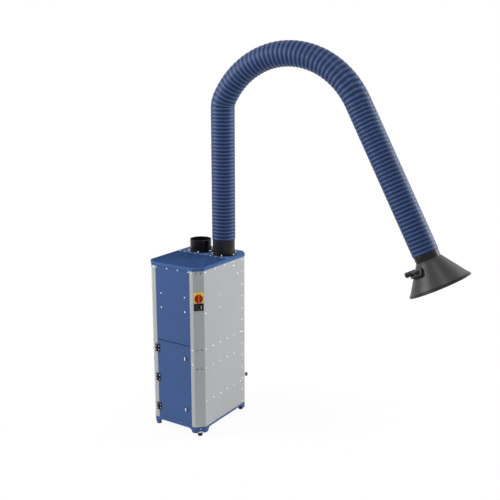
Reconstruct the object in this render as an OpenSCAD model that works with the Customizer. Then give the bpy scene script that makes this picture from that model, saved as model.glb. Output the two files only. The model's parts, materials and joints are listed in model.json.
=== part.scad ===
// Fume extraction arm on a filter cabinet, in millimetres.
// The origin is on the floor at the centre of the cabinet's footprint. The front faces -Y and the arm reaches to +X.

/* [Cabinet] */
// Width of the cabinet
body_w = 472; // [460:1:500]
// Depth of the cabinet
body_d = 626; // [610:1:660]
// Leg of the 45 degree corner faces, measured along each side
body_corner = 55; // [50:1:60]
// Height of the grey panels' lower edge over the floor
body_z = 75; // [70:1:85]
// Height of the grey panels
body_h = 1173; // [1150:1:1250]
// Thickness of the panel sheet
sheet_t = 2; // [1.5:0.5:2.5]
// Width of the grey strip that a side panel shows beside the door
strip_w = 30; // [26:1:34]
// Gap round the door and the front panel
panel_gap = 2; // [1.5:0.5:3]
// Depth of the rebate that the door closes into
rebate_d = 18; // [17:0.5:22]
// Width of the lip that the door's seal meets
lip_w = 18; // [16:1:20]

/* [Base] */
// Height of the rail's lower edge over the floor
rail_z = 58; // [54:1:60]
// Height of the legs' lower edge over the floor
leg_z = 28; // [26:1:32]
// Flat width of each leg beside its corner face
leg_w = 30; // [24:1:40]
// Thickness of the base frame's wall
base_t = 3; // [2:0.5:4]
// Width of the base frame's upper flange
base_flange = 26; // [22:1:34]
// Radius of a foot pad
foot_r = 18; // [16:1:22]
// Distance of a foot's centre behind its corner face
foot_inset = 24; // [22:1:30]
// Radius of a foot's stud
stud_r = 6; // [5:0.5:8]

/* [Door and front panel] */
// Height of the door's lower edge over the floor
door_z = 94; // [90:1:100]
// Height of the front panel over the door
front_panel_h = 552; // [545:1:570]
// Depth of the door's folded edge
door_d = 14; // [12:1:14.5]
// Distance of the latches from the door's free edge
latch_edge = 44; // [41:1:51]
// Radius of a latch's head
latch_r = 13; // [11:0.5:15]
// Height of a hinge
hinge_h = 56; // [50:1:64]
// Width of a hinge leaf
hinge_leaf_w = 17; // [15:1:19]
// Radius of a hinge knuckle
knuckle_r = 5.5; // [5:0.5:6.5]
// Radius of a hinge pin
hinge_pin_r = 2.5; // [2:0.25:3]

/* [Lid] */
// Height of the lid
lid_h = 22; // [20:1:28]
// Overhang of the lid past the panels
lid_lap = 3; // [2:1:4]
// Distance of the grille's rear edge before the spigots' centres
plate_lead = 110; // [108:1:116]
// Width of the lid's frame round the grille
lid_border = 12; // [10:1:18]
// Distance between the holes of the grille
hole_pitch = 26; // [24:1:34]
// Radius of a hole of the grille
hole_r = 4.5; // [3.5:0.5:6]

/* [Spigots] */
// Radius of the open spigot, outside, for a 160 mm duct
spigot_r = 80; // [78:0.5:81]
// Height of the open spigot over the lid
spigot_h = 90; // [80:1:110]
// Wall of the spigots and of the swivelling cuff
spigot_t = 2.5; // [2:0.5:3]
// Distance of the spigots behind the middle of the cabinet
spigot_y = 160; // [156:1:166]
// Place of the open spigot across the cabinet
outlet_x = -94; // [-98:1:-92]
// Place of the arm's spigot across the cabinet
inlet_x = 118; // [116:1:122]
// Radius of the ears' outer edge on a spigot's flange
ear_r = 103; // [100:0.5:104]
// Height of the swivelling cuff's top over the lid
cuff_h = 114; // [105:1:130]

/* [Switch and meter] */
// Width of the switch plate and of the hour meter
plate_w = 67; // [58:1:68]
// Height of the switch plate
switch_h = 76; // [74:1:90]
// Distance of the switch plate's centre under the panels' upper edge
switch_drop = 191; // [170:1:230]
// Radius of the switch's knob
switch_r = 30.5; // [24:0.5:31]
// Height of the hour meter
meter_h = 49; // [42:1:54]
// Gap between the switch plate and the hour meter
meter_gap = 7; // [3:1:12]

/* [Rear air fitting] */
// Height of the air fitting over the panels' lower edge
air_z = 212; // [205:1:240]
// Radius of the air fitting's knob
air_knob_r = 14; // [12:1:18]
// Radius of the air tank
tank_r = 55; // [45:1:58]

/* [Hose] */
// Radius of the hose over its ribs
hose_r = 87.3; // [86:0.1:89]
// Depth of the hose's folds
hose_fold = 4.3; // [2:0.1:5]
// Radius of the hose's bore
hose_bore_r = 79; // [78.5:0.1:80]
// Ribs on the whole hose
hose_ribs = 124; // [124:2:160]

/* [Arm] */
// Height of the shoulder over the cuff's top
shoulder_h = 989; // [960:1:1040]
// Lean of the arm at the shoulder
shoulder_lean = 25; // [22:1:28]
// Radius of the hose's bend at the shoulder
shoulder_r = 150; // [140:1:180]
// Radius of the arch
arch_r = 590; // [570:1:620]
// Heading of the falling run, from straight up
run_heading = 151.6; // [148:0.1:155]
// Length of the falling run, to the hood's collar
run_l = 1050; // [1000:1:1100]
// Radius of the riser post inside the hose
post_r = 21.2; // [19:0.1:24]
// Radius of the bent stays inside the hose
stay_r = 17; // [15:0.5:19]
// Wall of the post and of the stays
stay_t = 2.5; // [2:0.5:3]
// Radius of the arm's joint pins
arm_pin_r = 7; // [6:0.5:8]
// Distance of the hood's tilting pin before the collar
wrist_back = 81; // [76:1:90]

/* [Hood] */
// Radius of the hood's collar
collar_r = 82; // [81:0.5:85]
// Length of the collar that shows
collar_l = 42; // [38:1:50]
// Length of the hood's cone
cone_l = 182; // [170:1:200]
// Radius of the hood's mouth
mouth_r = 205; // [195:1:215]
// Wall of the hood
hood_t = 2.5; // [2:0.5:3]
// Thickness of the rim round the mouth
rim_t = 9; // [7:0.5:12]
// Width of the rim's lip on the cone
rim_lip = 15; // [10:1:20]
// Radius of the handle's grip
grip_r = 18; // [14:0.5:20]
// Length of the handle's grip
grip_l = 62; // [55:1:80]

/* [Filter] */
// Distance of the filter's axis from the cabinet's left side
filter_side = 216; // [212:1:220]
// Place of the filter's axis along the depth, from the middle
filter_y = -70; // [-76:1:-66]
// Radius of the filter cartridge
filter_r = 126; // [118:1:128]
// Room between the dust bin and the filter cartridge
filter_room = 69; // [50:1:80]
// Radius of the cartridge's bore
filter_bore_r = 80; // [76:1:84]
// Pleats round the cartridge
pleats = 60; // [40:2:72]
// Depth of a pleat
pleat_d = 14; // [10:1:18]
// Height of the tube sheet over the door's upper edge
sheet_rise = 12; // [9:1:20]
// Height of the dust bin
bin_h = 120; // [100:1:130]

/* [Fan] */
// Radius of the fan wheel
wheel_r = 138; // [128:1:140]
// Height of the fan wheel
wheel_h = 72; // [60:1:76]
// Height of the fan housing
fan_h = 100; // [96:1:110]
// Radius of the motor
motor_r = 95; // [80:1:105]
// Length of the motor
motor_l = 226; // [200:1:240]
// Blades of the fan wheel
blades = 12; // [8:1:16]

/* [Hidden] */
$fn = 48;
blue = "#35568f";
grey = "#b4b5b6";
black = "#232324";
zinc = "#c9cbcd";
steel = "#8f9499";

// Overrun of a cut past the face it opens
over = 1;
// Gap between a piece and the seat that it rests beside
seat = 0.3;
// Radial clearance of a pin in its bore
run_fit = 0.05;

// Places of the cabinet
front_y = -body_d / 2;
back_y = body_d / 2;
body_top = body_z + body_h;
lid_top = body_top + lid_h;
strip_x = body_w / 2 - body_corner - strip_w;
panel_x = strip_x - panel_gap;
front_panel_z = body_top - sheet_t - front_panel_h;
door_top = front_panel_z - 3 * panel_gap;
door_h = door_top - door_z;
latch_x = panel_x - latch_edge;
filter_x = -body_w / 2 + filter_side;
flange_z = body_z - base_t;
foot_plate_t = 4;
foot_plate_z = leg_z + foot_plate_t;
foot_plate_w = 58;
sill_h = door_z - panel_gap - body_z;
tube_z = door_top + sheet_rise;
tube_t = 3;

// Octagon of the cabinet's footprint, drawn in from its outer face by an inset
function octagon(w, d, c) = [
    [-w / 2 + c, -d / 2], [w / 2 - c, -d / 2], [w / 2, -d / 2 + c], [w / 2, d / 2 - c],
    [w / 2 - c, d / 2], [-w / 2 + c, d / 2], [-w / 2, d / 2 - c], [-w / 2, -d / 2 + c]];
function body_octagon(inset) =
    octagon(body_w - 2 * inset, body_d - 2 * inset, body_corner - inset * (2 - sqrt(2)));

// A prism that follows the footprint, between two heights
module footprint(inset, z0, z1) {
    translate([0, 0, z0]) linear_extrude(z1 - z0) polygon(body_octagon(inset));
}

// A wall that follows the footprint, from one inset to a deeper one
module footprint_ring(outer, inner, z0, z1) {
    translate([0, 0, z0]) linear_extrude(z1 - z0) difference() {
        polygon(body_octagon(outer));
        polygon(body_octagon(inner));
    }
}

// Stands its children on a corner face: local -Y points out of the face and Z stays up
module on_corner(right, rear, z) {
    across = body_w / 2 - body_corner / 2;
    along = body_d / 2 - body_corner / 2;
    turn = right ? (rear ? 135 : 45) : (rear ? 225 : -45);
    translate([right ? across : -across, rear ? along : -along, z]) rotate([0, 0, turn]) children();
}

// Lays a cylinder's axis along local -Y, from the face outwards by a distance
module outward(from, length, r) {
    translate([0, -from, 0]) rotate([90, 0, 0]) cylinder(h = length, r = r);
}

// A tube standing on a height
module pipe(r, wall, z0, z1) {
    translate([0, 0, z0]) difference() {
        cylinder(h = z1 - z0, r = r);
        translate([0, 0, -over]) cylinder(h = z1 - z0 + 2 * over, r = r - wall);
    }
}

// A folded sheet pan that opens to +Y, with a lip round its back
module pan(w, h, d, lip) {
    difference() {
        translate([-w / 2, 0, 0]) cube([w, d, h]);
        translate([-w / 2 + sheet_t, sheet_t, sheet_t])
            cube([w - 2 * sheet_t, d - 2 * sheet_t, h - 2 * sheet_t]);
        translate([-w / 2 + lip, d - sheet_t - over, lip])
            cube([w - 2 * lip, sheet_t + 2 * over, h - 2 * lip]);
    }
}

// Cabinet shell and base

// A window between two legs: a flat top with a quarter round at each end
module leg_window(half) {
    arch = rail_z - leg_z;
    union() {
        translate([-half + arch, leg_z - over]) square([2 * (half - arch), arch + over]);
        for (side = [-1, 1]) translate([side * (half - arch), leg_z]) circle(r = arch);
    }
}

// Feet stand behind the corner faces
module at_feet(z) {
    for (right = [false, true], rear = [false, true]) on_corner(right, rear, z)
        translate([0, foot_inset, 0]) children();
}

module base_frame() color(blue) {
    difference() {
        footprint_ring(0, base_t, leg_z, body_z);
        translate([0, body_d, 0]) rotate([90, 0, 0]) linear_extrude(2 * body_d)
            leg_window(body_w / 2 - body_corner - leg_w);
        translate([-body_w, 0, 0]) rotate([90, 0, 90]) linear_extrude(2 * body_w)
            leg_window(body_d / 2 - body_corner - leg_w);
    }
    footprint_ring(base_t / 2, base_flange, flange_z, body_z);
    translate([-panel_x, front_y, body_z - base_t]) difference() {
        cube([2 * panel_x, rebate_d, sill_h + base_t]);
        translate([-over, sheet_t, base_t])
            cube([2 * panel_x + 2 * over, rebate_d - 2 * sheet_t, sill_h - sheet_t]);
    }
    for (right = [false, true], rear = [false, true]) intersection() {
        on_corner(right, rear, foot_plate_z) difference() {
            translate([-foot_plate_w / 2, 0, 0]) cube([foot_plate_w, 2 * foot_inset, foot_plate_t]);
            translate([0, foot_inset, -over]) cylinder(h = foot_plate_t + 2 * over, r = stud_r + seat);
        }
        footprint(base_t / 2, leg_z, body_z);
    }
}

pad_h = 20;
pad_neck_r = 10;
pad_neck_h = 5;

module levelling_feet() color(black) at_feet(0) {
    cylinder(h = pad_h, r = foot_r);
    translate([0, 0, pad_h]) cylinder(h = pad_neck_h, r = pad_neck_r);
}

nut_r = 10;
nut_h = 6;
stud_top = foot_plate_z + foot_plate_t + nut_h + nut_h / 2;
lock_plate = [34, 3, 6];

module foot_studs() color(zinc) {
    at_feet(0) {
        translate([0, 0, pad_h + pad_neck_h]) cylinder(h = stud_top - pad_h - pad_neck_h, r = stud_r);
        translate([0, 0, foot_plate_z + foot_plate_t]) difference() {
            cylinder(h = nut_h, r = nut_r, $fn = 6);
            translate([0, 0, -over]) cylinder(h = nut_h + 2 * over, r = stud_r);
        }
    }
    for (right = [false, true], rear = [false, true]) on_corner(right, rear, foot_plate_z)
        translate([-lock_plate[0] / 2, -lock_plate[1], 0]) cube(lock_plate);
}

// A floor or shelf in the shell, cut out round the folds at the front and back
module shelf(z, t, front_cut) {
    half = strip_x + sheet_t + seat;
    difference() {
        footprint(sheet_t + seat, z, z + t);
        translate([-half, -body_d, z - over]) cube([2 * half, body_d / 2 + front_cut + seat, t + 2 * over]);
        translate([-half, back_y - rebate_d - sheet_t - seat, z - over]) cube([2 * half, body_d, t + 2 * over]);
    }
}

module floor_pan() color(steel) shelf(body_z, sheet_t, rebate_d + sheet_t);

// The section of a right-hand side panel: strips, corner faces, side, and the folded lips at front and back
module side_section() {
    difference() {
        polygon(body_octagon(0));
        polygon(body_octagon(sheet_t));
        translate([-body_w, -body_d]) square([body_w + strip_x, 2 * body_d]);
    }
    for (end = [-1, 1]) scale([1, end]) {
        translate([strip_x, -body_d / 2]) square([sheet_t, rebate_d + sheet_t]);
        translate([strip_x - lip_w, -body_d / 2 + rebate_d]) square([lip_w + sheet_t, sheet_t]);
    }
}

switch_mid = body_top - switch_drop;
knob_drop = 7;
knob_z = switch_mid - knob_drop;
shaft_hole_r = 11;
meter_mid = switch_mid - switch_h / 2 - meter_gap - meter_h / 2;
meter_hole = [plate_w - 12 * over, meter_h - 10 * over];
air_mid = body_z + air_z;
air_hole_r = 12;

module side_panel_left() color(grey) mirror([1, 0, 0]) translate([0, 0, body_z])
    linear_extrude(body_h) side_section();

module side_panel_right() color(grey) difference() {
    translate([0, 0, body_z]) linear_extrude(body_h) side_section();
    on_corner(true, false, knob_z) outward(-sheet_t - over, sheet_t + 2 * over, shaft_hole_r);
    on_corner(true, false, meter_mid) translate([-meter_hole[0] / 2, -over, -meter_hole[1] / 2])
        cube([meter_hole[0], sheet_t + 2 * over, meter_hole[1]]);
    on_corner(true, true, air_mid) outward(-sheet_t - over, sheet_t + 2 * over, air_hole_r);
}

module rear_panel() color(grey) translate([0, back_y, body_z + sheet_t]) rotate([0, 0, 180])
    pan(2 * panel_x, body_h - 2 * sheet_t, rebate_d, lip_w - panel_gap);

module front_panel() color(blue) translate([0, front_y, front_panel_z])
    pan(2 * panel_x, front_panel_h, rebate_d, lip_w - panel_gap);

rail_h = 40;
rail_d = 20;

module mid_rail() color(grey) translate([0, front_y + rebate_d + sheet_t, (door_top + front_panel_z) / 2]) difference() {
    translate([-strip_x, 0, -rail_h / 2]) cube([2 * strip_x, rail_d, rail_h]);
    translate([-strip_x - over, sheet_t, -rail_h / 2 + sheet_t])
        cube([2 * strip_x + 2 * over, rail_d - 2 * sheet_t, rail_h - 2 * sheet_t]);
}

// Lid, grille and spigots

lid_flange = 14;
plate_y = spigot_y - plate_lead;
grille_t = 1.5;
spigot_hole_r = spigot_r - spigot_t;
grille_fit = 2 * sheet_t;

// Keeps only what lies in front of the plain plate
module before_plate(margin) {
    translate([-body_w, -body_d]) square([2 * body_w, body_d + plate_y - margin]);
}

module lid() color(blue) {
    footprint_ring(-lid_lap, -lid_lap + sheet_t, body_top, lid_top);
    footprint_ring(-lid_lap + sheet_t / 2, lid_flange, body_top, body_top + sheet_t);
    translate([0, 0, lid_top - sheet_t]) linear_extrude(sheet_t) difference() {
        polygon(body_octagon(-lid_lap));
        intersection() {
            polygon(body_octagon(lid_border - lid_lap));
            before_plate(0);
        }
        for (x = [outlet_x, inlet_x]) translate([x, spigot_y]) circle(r = spigot_hole_r);
    }
}

hole_rows = floor((body_d / 2 + plate_y - 2 * lid_border) / hole_pitch);
hole_columns = floor((body_w - 2 * lid_border) / hole_pitch);

module lid_grille() color(blue) translate([0, 0, lid_top - sheet_t - grille_t]) linear_extrude(grille_t) difference() {
    intersection() {
        polygon(body_octagon(grille_fit));
        before_plate(-lid_border);
    }
    intersection() {
        polygon(body_octagon(lid_border));
        for (row = [0:hole_rows - 1], column = [0:hole_columns - 1])
            translate([(column - (hole_columns - 1) / 2) * hole_pitch,
                       front_y + lid_border + (row + 1 / 2) * hole_pitch])
                if (abs((column - (hole_columns - 1) / 2) * hole_pitch) + abs((row - hole_rows) * hole_pitch)
                    < body_w / 2 + hole_rows * hole_pitch - body_corner) circle(r = hole_r, $fn = 16);
    }
}

flange_t = 3;
gasket_t = 2;
flange_r = spigot_r + 4 * flange_t;
ear_w = 24;
ears = 6;
ear_turn = -6;
stud_h = 9;
ear_bolt_r = (ear_r + spigot_r) / 2 + over;
bolt_r = 3.2;

// Flange of a spigot with its ears, as an outline
module flange_outline(bore) {
    difference() {
        union() {
            circle(r = flange_r);
            for (i = [0:ears - 1]) rotate(ear_turn + i * 360 / ears) intersection() {
                translate([0, -ear_w / 2]) square([ear_r, ear_w]);
                circle(r = ear_r);
            }
        }
        circle(r = bore);
        for (i = [0:ears - 1]) rotate(ear_turn + i * 360 / ears) translate([ear_bolt_r, 0]) circle(r = bolt_r + seat);
    }
}

flange_base = lid_top + gasket_t;
cuff_gap = 0.5;
cuff_r = spigot_r + cuff_gap + spigot_t - over;
inlet_r = cuff_r - spigot_t - cuff_gap;
inlet_h = 62;
bearing_t = 4;
cuff_z = lid_top + gasket_t + flange_t + 2 * flange_t;
cuff_top = lid_top + cuff_h;

module spigot(x, r, h) color(black) translate([x, spigot_y, flange_base]) {
    linear_extrude(flange_t) flange_outline(r - spigot_t);
    pipe(r, spigot_t, flange_t / 2, h - gasket_t);
}

module inlet_spigot() spigot(inlet_x, inlet_r, inlet_h);
module outlet_spigot() spigot(outlet_x, spigot_r, spigot_h);

// Gaskets under both flanges, the cuff's bearing ring and the filter's gasket
module seal_rings() color(black) {
    for (x = [outlet_x, inlet_x]) translate([x, spigot_y, lid_top]) linear_extrude(gasket_t)
        flange_outline(spigot_hole_r);
    translate([inlet_x, spigot_y, 0]) pipe(inlet_r, spigot_t + over, lid_top + inlet_h, lid_top + inlet_h + bearing_t);
    translate([filter_x, filter_y, 0])
        pipe(filter_r, filter_r - filter_bore_r, tube_z - filter_gasket_t, tube_z);
}

head_r = 5.5;
head_h = 4;
screw_r = 3.5;
screw_h = 1.6;
base_screw_z = rail_z + over;

// Bolts of the spigots, screws of the legs' corners, of the corner faces and of the hinges' fixed leaves
module cabinet_screws() color(zinc) {
    for (x = [outlet_x, inlet_x], i = [0:ears - 1]) translate([x, spigot_y, flange_base + flange_t])
        rotate(ear_turn + i * 360 / ears) translate([ear_bolt_r, 0, 0]) {
            cylinder(h = head_h, r = head_r, $fn = 6);
            translate([0, 0, -flange_t - gasket_t]) cylinder(h = flange_t + gasket_t + stud_h, r = bolt_r);
        }
    for (right = [false, true], rear = [false, true]) on_corner(right, rear, base_screw_z)
        outward(0, screw_h, screw_r);
    for (right = [false, true], rear = [false, true], share = corner_screw_shares, side = [-1, 1])
        on_corner(right, rear, body_z + share * body_h) translate([side * plate_w / 4, 0, 0])
            outward(0, screw_h, screw_r);
    for (z = hinge_places) hinge_screw_pair(z, -1);
}

corner_screw_shares = [0.382, 0.505, 0.986];
rivet_r = 3.4;
rivet_h = 1.2;
row_shares = [0.166, 0.384, 0.507];
row_counts = [6, 5, 6];
row_start = body_corner + 4 * rivet_r;
row_pitch = (body_d - 2 * row_start) / (max(row_counts) - 1 + 1 / 2);
column_y = back_y - body_corner - 10 * rivet_r;
column_rivets = 13;
column_margin = 21;
top_margin = 14;
top_rivets = 4;
front_rivets = 4;
plate_rivets = 10;
place_shares = [0.738, 0.829];
place_x = strip_x * 0.7;
rear_rivets = 8;
loose_side_shares = [[0.387, 0.817], [0.387, 0.735], [0.113, 0.734], [0.763, 0.903], [0.679, 0.963]];
strip_shares = [0.411, 0.502];

// A rivet head on the right side, or its mirror image on the left
module side_rivet(y, z) {
    for (side = [0, 1]) mirror([side, 0, 0]) translate([body_w / 2, y, z]) rotate([0, 90, 0])
        cylinder(h = rivet_h, r = rivet_r, $fn = 16);
}

module front_rivet(x, z) {
    translate([x, front_y, z]) rotate([90, 0, 0]) cylinder(h = rivet_h, r = rivet_r, $fn = 16);
}

module rivets() color(zinc) {
    for (row = [0:len(row_shares) - 1], i = [0:row_counts[row] - 1])
        side_rivet(front_y + row_start + i * row_pitch, body_z + row_shares[row] * body_h);
    for (i = [0:column_rivets - 1])
        side_rivet(column_y, body_z + column_margin + i * (body_h - 2 * column_margin) / (column_rivets - 1));
    for (i = [0:top_rivets - 1])
        side_rivet(front_y + row_start + 2 * rivet_r + i * (column_y - front_y - row_start) / top_rivets,
                   body_top - top_margin);
    for (share = loose_side_shares) side_rivet(front_y + share[0] * body_d, body_z + share[1] * body_h);
    for (i = [0:front_rivets - 1])
        front_rivet((i - (front_rivets - 1) / 2) * 2 * (panel_x - 2 * rivet_r) / (front_rivets - 1),
                    body_top - top_margin / 2 - rivet_r);
    for (share = strip_shares) front_rivet(strip_x + strip_w * 0.6, body_z + share * body_h);
    for (side = [-1, 1]) {
        front_rivet(side * (strip_x + strip_w / 2), body_top - top_margin);
        for (share = place_shares) front_rivet(side * place_x, body_z + share * body_h);
        for (i = [0:rear_rivets - 1]) translate([side * (strip_x + strip_w / 2), back_y,
            body_z + column_margin + i * (body_h - 2 * column_margin) / (rear_rivets - 1)])
            rotate([-90, 0, 0]) cylinder(h = rivet_h, r = rivet_r, $fn = 16);
    }
    for (i = [0:plate_rivets - 1])
        translate([(i - (plate_rivets - 1) / 2) * (body_w - 2 * lid_border) / (plate_rivets - 1 + 1 / 2),
                   plate_y + lid_border / 2, lid_top]) cylinder(h = rivet_h, r = rivet_r, $fn = 16);
}

// Switch, meter and control box

switch_plate_t = 3;
knob_base = 8;
knob_bar_w = 12;
knob_bar_d = 20;
switch_shaft_r = 5;
box_w = 46;
box_d = 58;
bezel_t = 6;
meter_d = 40;
window_margin = 9;
window_t = 1.5;

module switch_plate() color("#d9c136") on_corner(true, false, switch_mid) difference() {
    translate([-plate_w / 2, -switch_plate_t, -switch_h / 2]) cube([plate_w, switch_plate_t, switch_h]);
    translate([0, 0, -knob_drop]) outward(-over, switch_plate_t + 2 * over, switch_shaft_r + seat);
}

module switch_box() color(black) on_corner(true, false, knob_z) {
    translate([-box_w / 2, sheet_t, -box_w / 2]) difference() {
        cube([box_w, box_d, box_w]);
        translate([box_w / 2, -over, box_w / 2]) rotate([-90, 0, 0])
            cylinder(h = box_d / 2 + over, r = switch_shaft_r + seat);
    }
}

module switch_knob() color("#b8261b") on_corner(true, false, knob_z) {
    outward(switch_plate_t + seat, knob_base, switch_r);
    intersection() {
        translate([-knob_bar_w / 2, -switch_plate_t - seat - knob_bar_d, -switch_r])
            cube([knob_bar_w, knob_bar_d - knob_base / 2, 2 * switch_r]);
        outward(switch_plate_t, knob_bar_d + seat, switch_r - over);
    }
    outward(-sheet_t - box_d / 2 + seat, sheet_t + box_d / 2 + switch_plate_t, switch_shaft_r);
}

module hour_meter() color(black) on_corner(true, false, meter_mid) difference() {
    union() {
        translate([-plate_w / 2, -bezel_t, -meter_h / 2]) cube([plate_w, bezel_t, meter_h]);
        translate([-meter_hole[0] / 2 + seat, -over, -meter_hole[1] / 2 + seat])
            cube([meter_hole[0] - 2 * seat, meter_d, meter_hole[1] - 2 * seat]);
    }
    translate([-plate_w / 2 + window_margin, -bezel_t - over, -meter_h / 2 + window_margin])
        cube([plate_w - 2 * window_margin, 2 * window_t + over, meter_h - 2 * window_margin]);
}

module meter_window() color(steel) on_corner(true, false, meter_mid)
    translate([-plate_w / 2 + window_margin, -bezel_t + window_t, -meter_h / 2 + window_margin])
        cube([plate_w - 2 * window_margin, window_t, meter_h - 2 * window_margin]);

control_size = [64, 140, 200];

module control_box() color(grey)
    translate([body_w / 2 - sheet_t - control_size[0], front_y + 2 * body_corner, body_top - 2 * control_size[1]])
        difference() {
            cube(control_size);
            translate([sheet_t, sheet_t, sheet_t]) cube([for (s = control_size) s - 2 * sheet_t]);
        }

// Compressed air: fitting, knob, tank and blow pipe

fitting_flange_r = 18;
fitting_r = 10;
fitting_l = 13;
air_pipe_r = 8;
air_knob_l = 16;
tank_y = back_y - sheet_t - rebate_d - tank_r;
tank_end = body_w / 2 - body_corner - 2 * fitting_r + 3 * air_pipe_r;
tank_left = -strip_x;
tank_hang = strip_x * 0.6;
blow_r = 12;
blow_x = tank_left + 2 * blow_r;
blow_fitting = 3 * blow_r;
clamp_t = 6;
blow_z = tube_z + tube_t + clamp_t + blow_fitting / 2 + 2 * over;

module tank_shape(r) {
    translate([tank_left, tank_y, air_mid]) rotate([0, 90, 0]) cylinder(h = tank_end - tank_left, r = r);
}

module air_fitting() color(zinc) difference() {
    on_corner(true, true, air_mid) {
        outward(0, flange_t, fitting_flange_r);
        outward(flange_t / 2, fitting_l - flange_t / 2, fitting_r);
        outward(-2 * tank_r, 2 * tank_r + flange_t / 2, air_pipe_r);
    }
    tank_shape(tank_r);
    translate([-body_w, 0, 0]) cube([body_w + tank_end, body_d, body_top]);
}

module air_knob() color(black) on_corner(true, true, air_mid) {
    difference() {
        outward(fitting_l + seat, air_knob_l, air_knob_r);
        for (i = [0:ears - 1]) rotate([0, i * 360 / ears, 0]) translate([air_knob_r + over, 0, 0])
            outward(fitting_l, air_knob_l + over, 2 * over);
    }
}

module air_tank() color(blue) difference() {
    union() {
        tank_shape(tank_r);
        for (side = [-1, 1]) translate([side * tank_hang, tank_y, air_mid - blow_r])
            cube([2 * sheet_t, back_y - sheet_t - tank_y, 2 * blow_r]);
    }
    translate([tank_left + flange_t, tank_y, air_mid]) rotate([0, 90, 0])
        cylinder(h = tank_end - tank_left - 2 * flange_t, r = tank_r - flange_t);
}

// Rises from the tank through the tube sheet and turns in over the cartridge
module blow_pipe() color(zinc) {
    reach = [filter_x - blow_x, filter_y - tank_y];
    difference() {
        translate([blow_x, tank_y, air_mid]) cylinder(h = blow_z - air_mid, r = blow_r);
        tank_shape(tank_r);
    }
    translate([blow_x, tank_y, blow_z]) {
        translate([0, 0, -blow_fitting / 2]) cylinder(h = blow_fitting, r = blow_fitting / 2);
        rotate([0, 90, atan2(reach[1], reach[0])]) cylinder(h = norm(reach), r = blow_r);
    }
    translate([filter_x, filter_y, blow_z - blow_fitting / 2]) cylinder(h = blow_fitting, r = blow_fitting / 2);
}

// Filter chamber

filter_gasket_t = 4;
filter_flange_t = 8;
clamp_r = 6;
clamp_bar_w = 24;
clamp_plate_r = filter_r - pleat_d;
wing = [70, 8, 16];
filter_top = tube_z - filter_gasket_t;
filter_l = filter_top - body_z - sheet_t - bin_h - filter_room;
filter_foot = filter_top - filter_l;

module tube_sheet() color(steel) difference() {
    shelf(tube_z, tube_t, rebate_d + sheet_t + rail_d);
    translate([filter_x, filter_y, tube_z - over]) cylinder(h = tube_t + 2 * over, r = filter_bore_r);
    translate([inlet_x, spigot_y, tube_z - over]) cylinder(h = tube_t + 2 * over, r = spigot_r - spigot_t);
    translate([blow_x, tank_y, tube_z - over]) cylinder(h = tube_t + 2 * over, r = blow_r + seat);
}

// Pleated paper between two end plates, open through the middle
module filter_cartridge() color("#e6e3da") translate([filter_x, filter_y, filter_foot]) {
    translate([0, 0, filter_flange_t]) linear_extrude(filter_l - 2 * filter_flange_t) difference() {
        polygon([for (i = [0:2 * pleats - 1])
            let (r = i % 2 == 0 ? filter_r - over : filter_r - pleat_d) r * [cos(i * 180 / pleats), sin(i * 180 / pleats)]]);
        circle(r = filter_bore_r + pleat_d);
    }
    for (z = [0, filter_l - filter_flange_t]) pipe(filter_r, filter_r - filter_bore_r, z, z + filter_flange_t);
}

// Rod from a bar over the tube sheet down to a plate and a wing nut under the cartridge
module filter_clamp() color(zinc) translate([filter_x, filter_y, 0]) {
    translate([-filter_bore_r - clamp_bar_w, -clamp_bar_w / 2, tube_z + tube_t])
        cube([2 * (filter_bore_r + clamp_bar_w), clamp_bar_w, clamp_t]);
    translate([0, 0, filter_foot - 3 * clamp_t]) cylinder(h = tube_z + tube_t - filter_foot + 3 * clamp_t, r = clamp_r);
    translate([0, 0, filter_foot - clamp_t]) difference() {
        cylinder(h = clamp_t, r = clamp_plate_r);
        translate([0, 0, -over]) cylinder(h = clamp_t + 2 * over, r = clamp_r);
    }
    translate([0, 0, filter_foot - clamp_t - wing[2]]) difference() {
        union() {
            translate([-wing[0] / 2, -wing[1] / 2, 0]) cube(wing);
            cylinder(h = wing[2], r = 2 * clamp_r);
        }
        translate([0, 0, -over]) cylinder(h = wing[2] + 2 * over, r = clamp_r);
    }
}

bin_clear = 6;
bin_w = 2 * (strip_x - lip_w - bin_clear);
bin_front = front_y + 3 * rebate_d;
bin_d = tank_y - bin_front;
bin_z = body_z + sheet_t;
bin_grip = [120, 24, 24];

module dust_bin() color(grey) {
    difference() {
        translate([-bin_w / 2, bin_front, bin_z]) cube([bin_w, bin_d, bin_h]);
        translate([-bin_w / 2 + sheet_t, bin_front + sheet_t, bin_z + sheet_t])
            cube([bin_w - 2 * sheet_t, bin_d - 2 * sheet_t, bin_h]);
    }
    translate([-bin_grip[0] / 2, bin_front - bin_grip[1], bin_z + bin_h - bin_grip[2]]) difference() {
        cube([bin_grip[0], bin_grip[1] + over, bin_grip[2]]);
        translate([sheet_t, sheet_t, -over])
            cube([bin_grip[0] - 2 * sheet_t, bin_grip[1] + over, bin_grip[2] - sheet_t + over]);
    }
}

// Fan

fan_x = filter_x;
fan_y = filter_y - body_corner / 2;
fan_z = tube_z + tube_t + fan_h / 2 + tube_t;
scroll_min = wheel_r + 12;
scroll_max = wheel_r + 50;
scroll_from = 150;
scroll_steps = 36;
eye_r = wheel_r * 0.65;
leg_post_r = 9;
shaft_r = 12;
plenum_gap = 2 * over;
plenum_x0 = fan_x - scroll_max;
plenum_y0 = spigot_y - spigot_r;
plenum_y1 = spigot_y + spigot_r;
plenum_x1 = outlet_x + spigot_r;
plenum_h = 1.4 * fan_h;
throat_w = scroll_max - scroll_min * 0.72;

function scroll_radius(turn) = scroll_min + (scroll_max - scroll_min) * (scroll_from - turn) / (scroll_from + 180);

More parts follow.
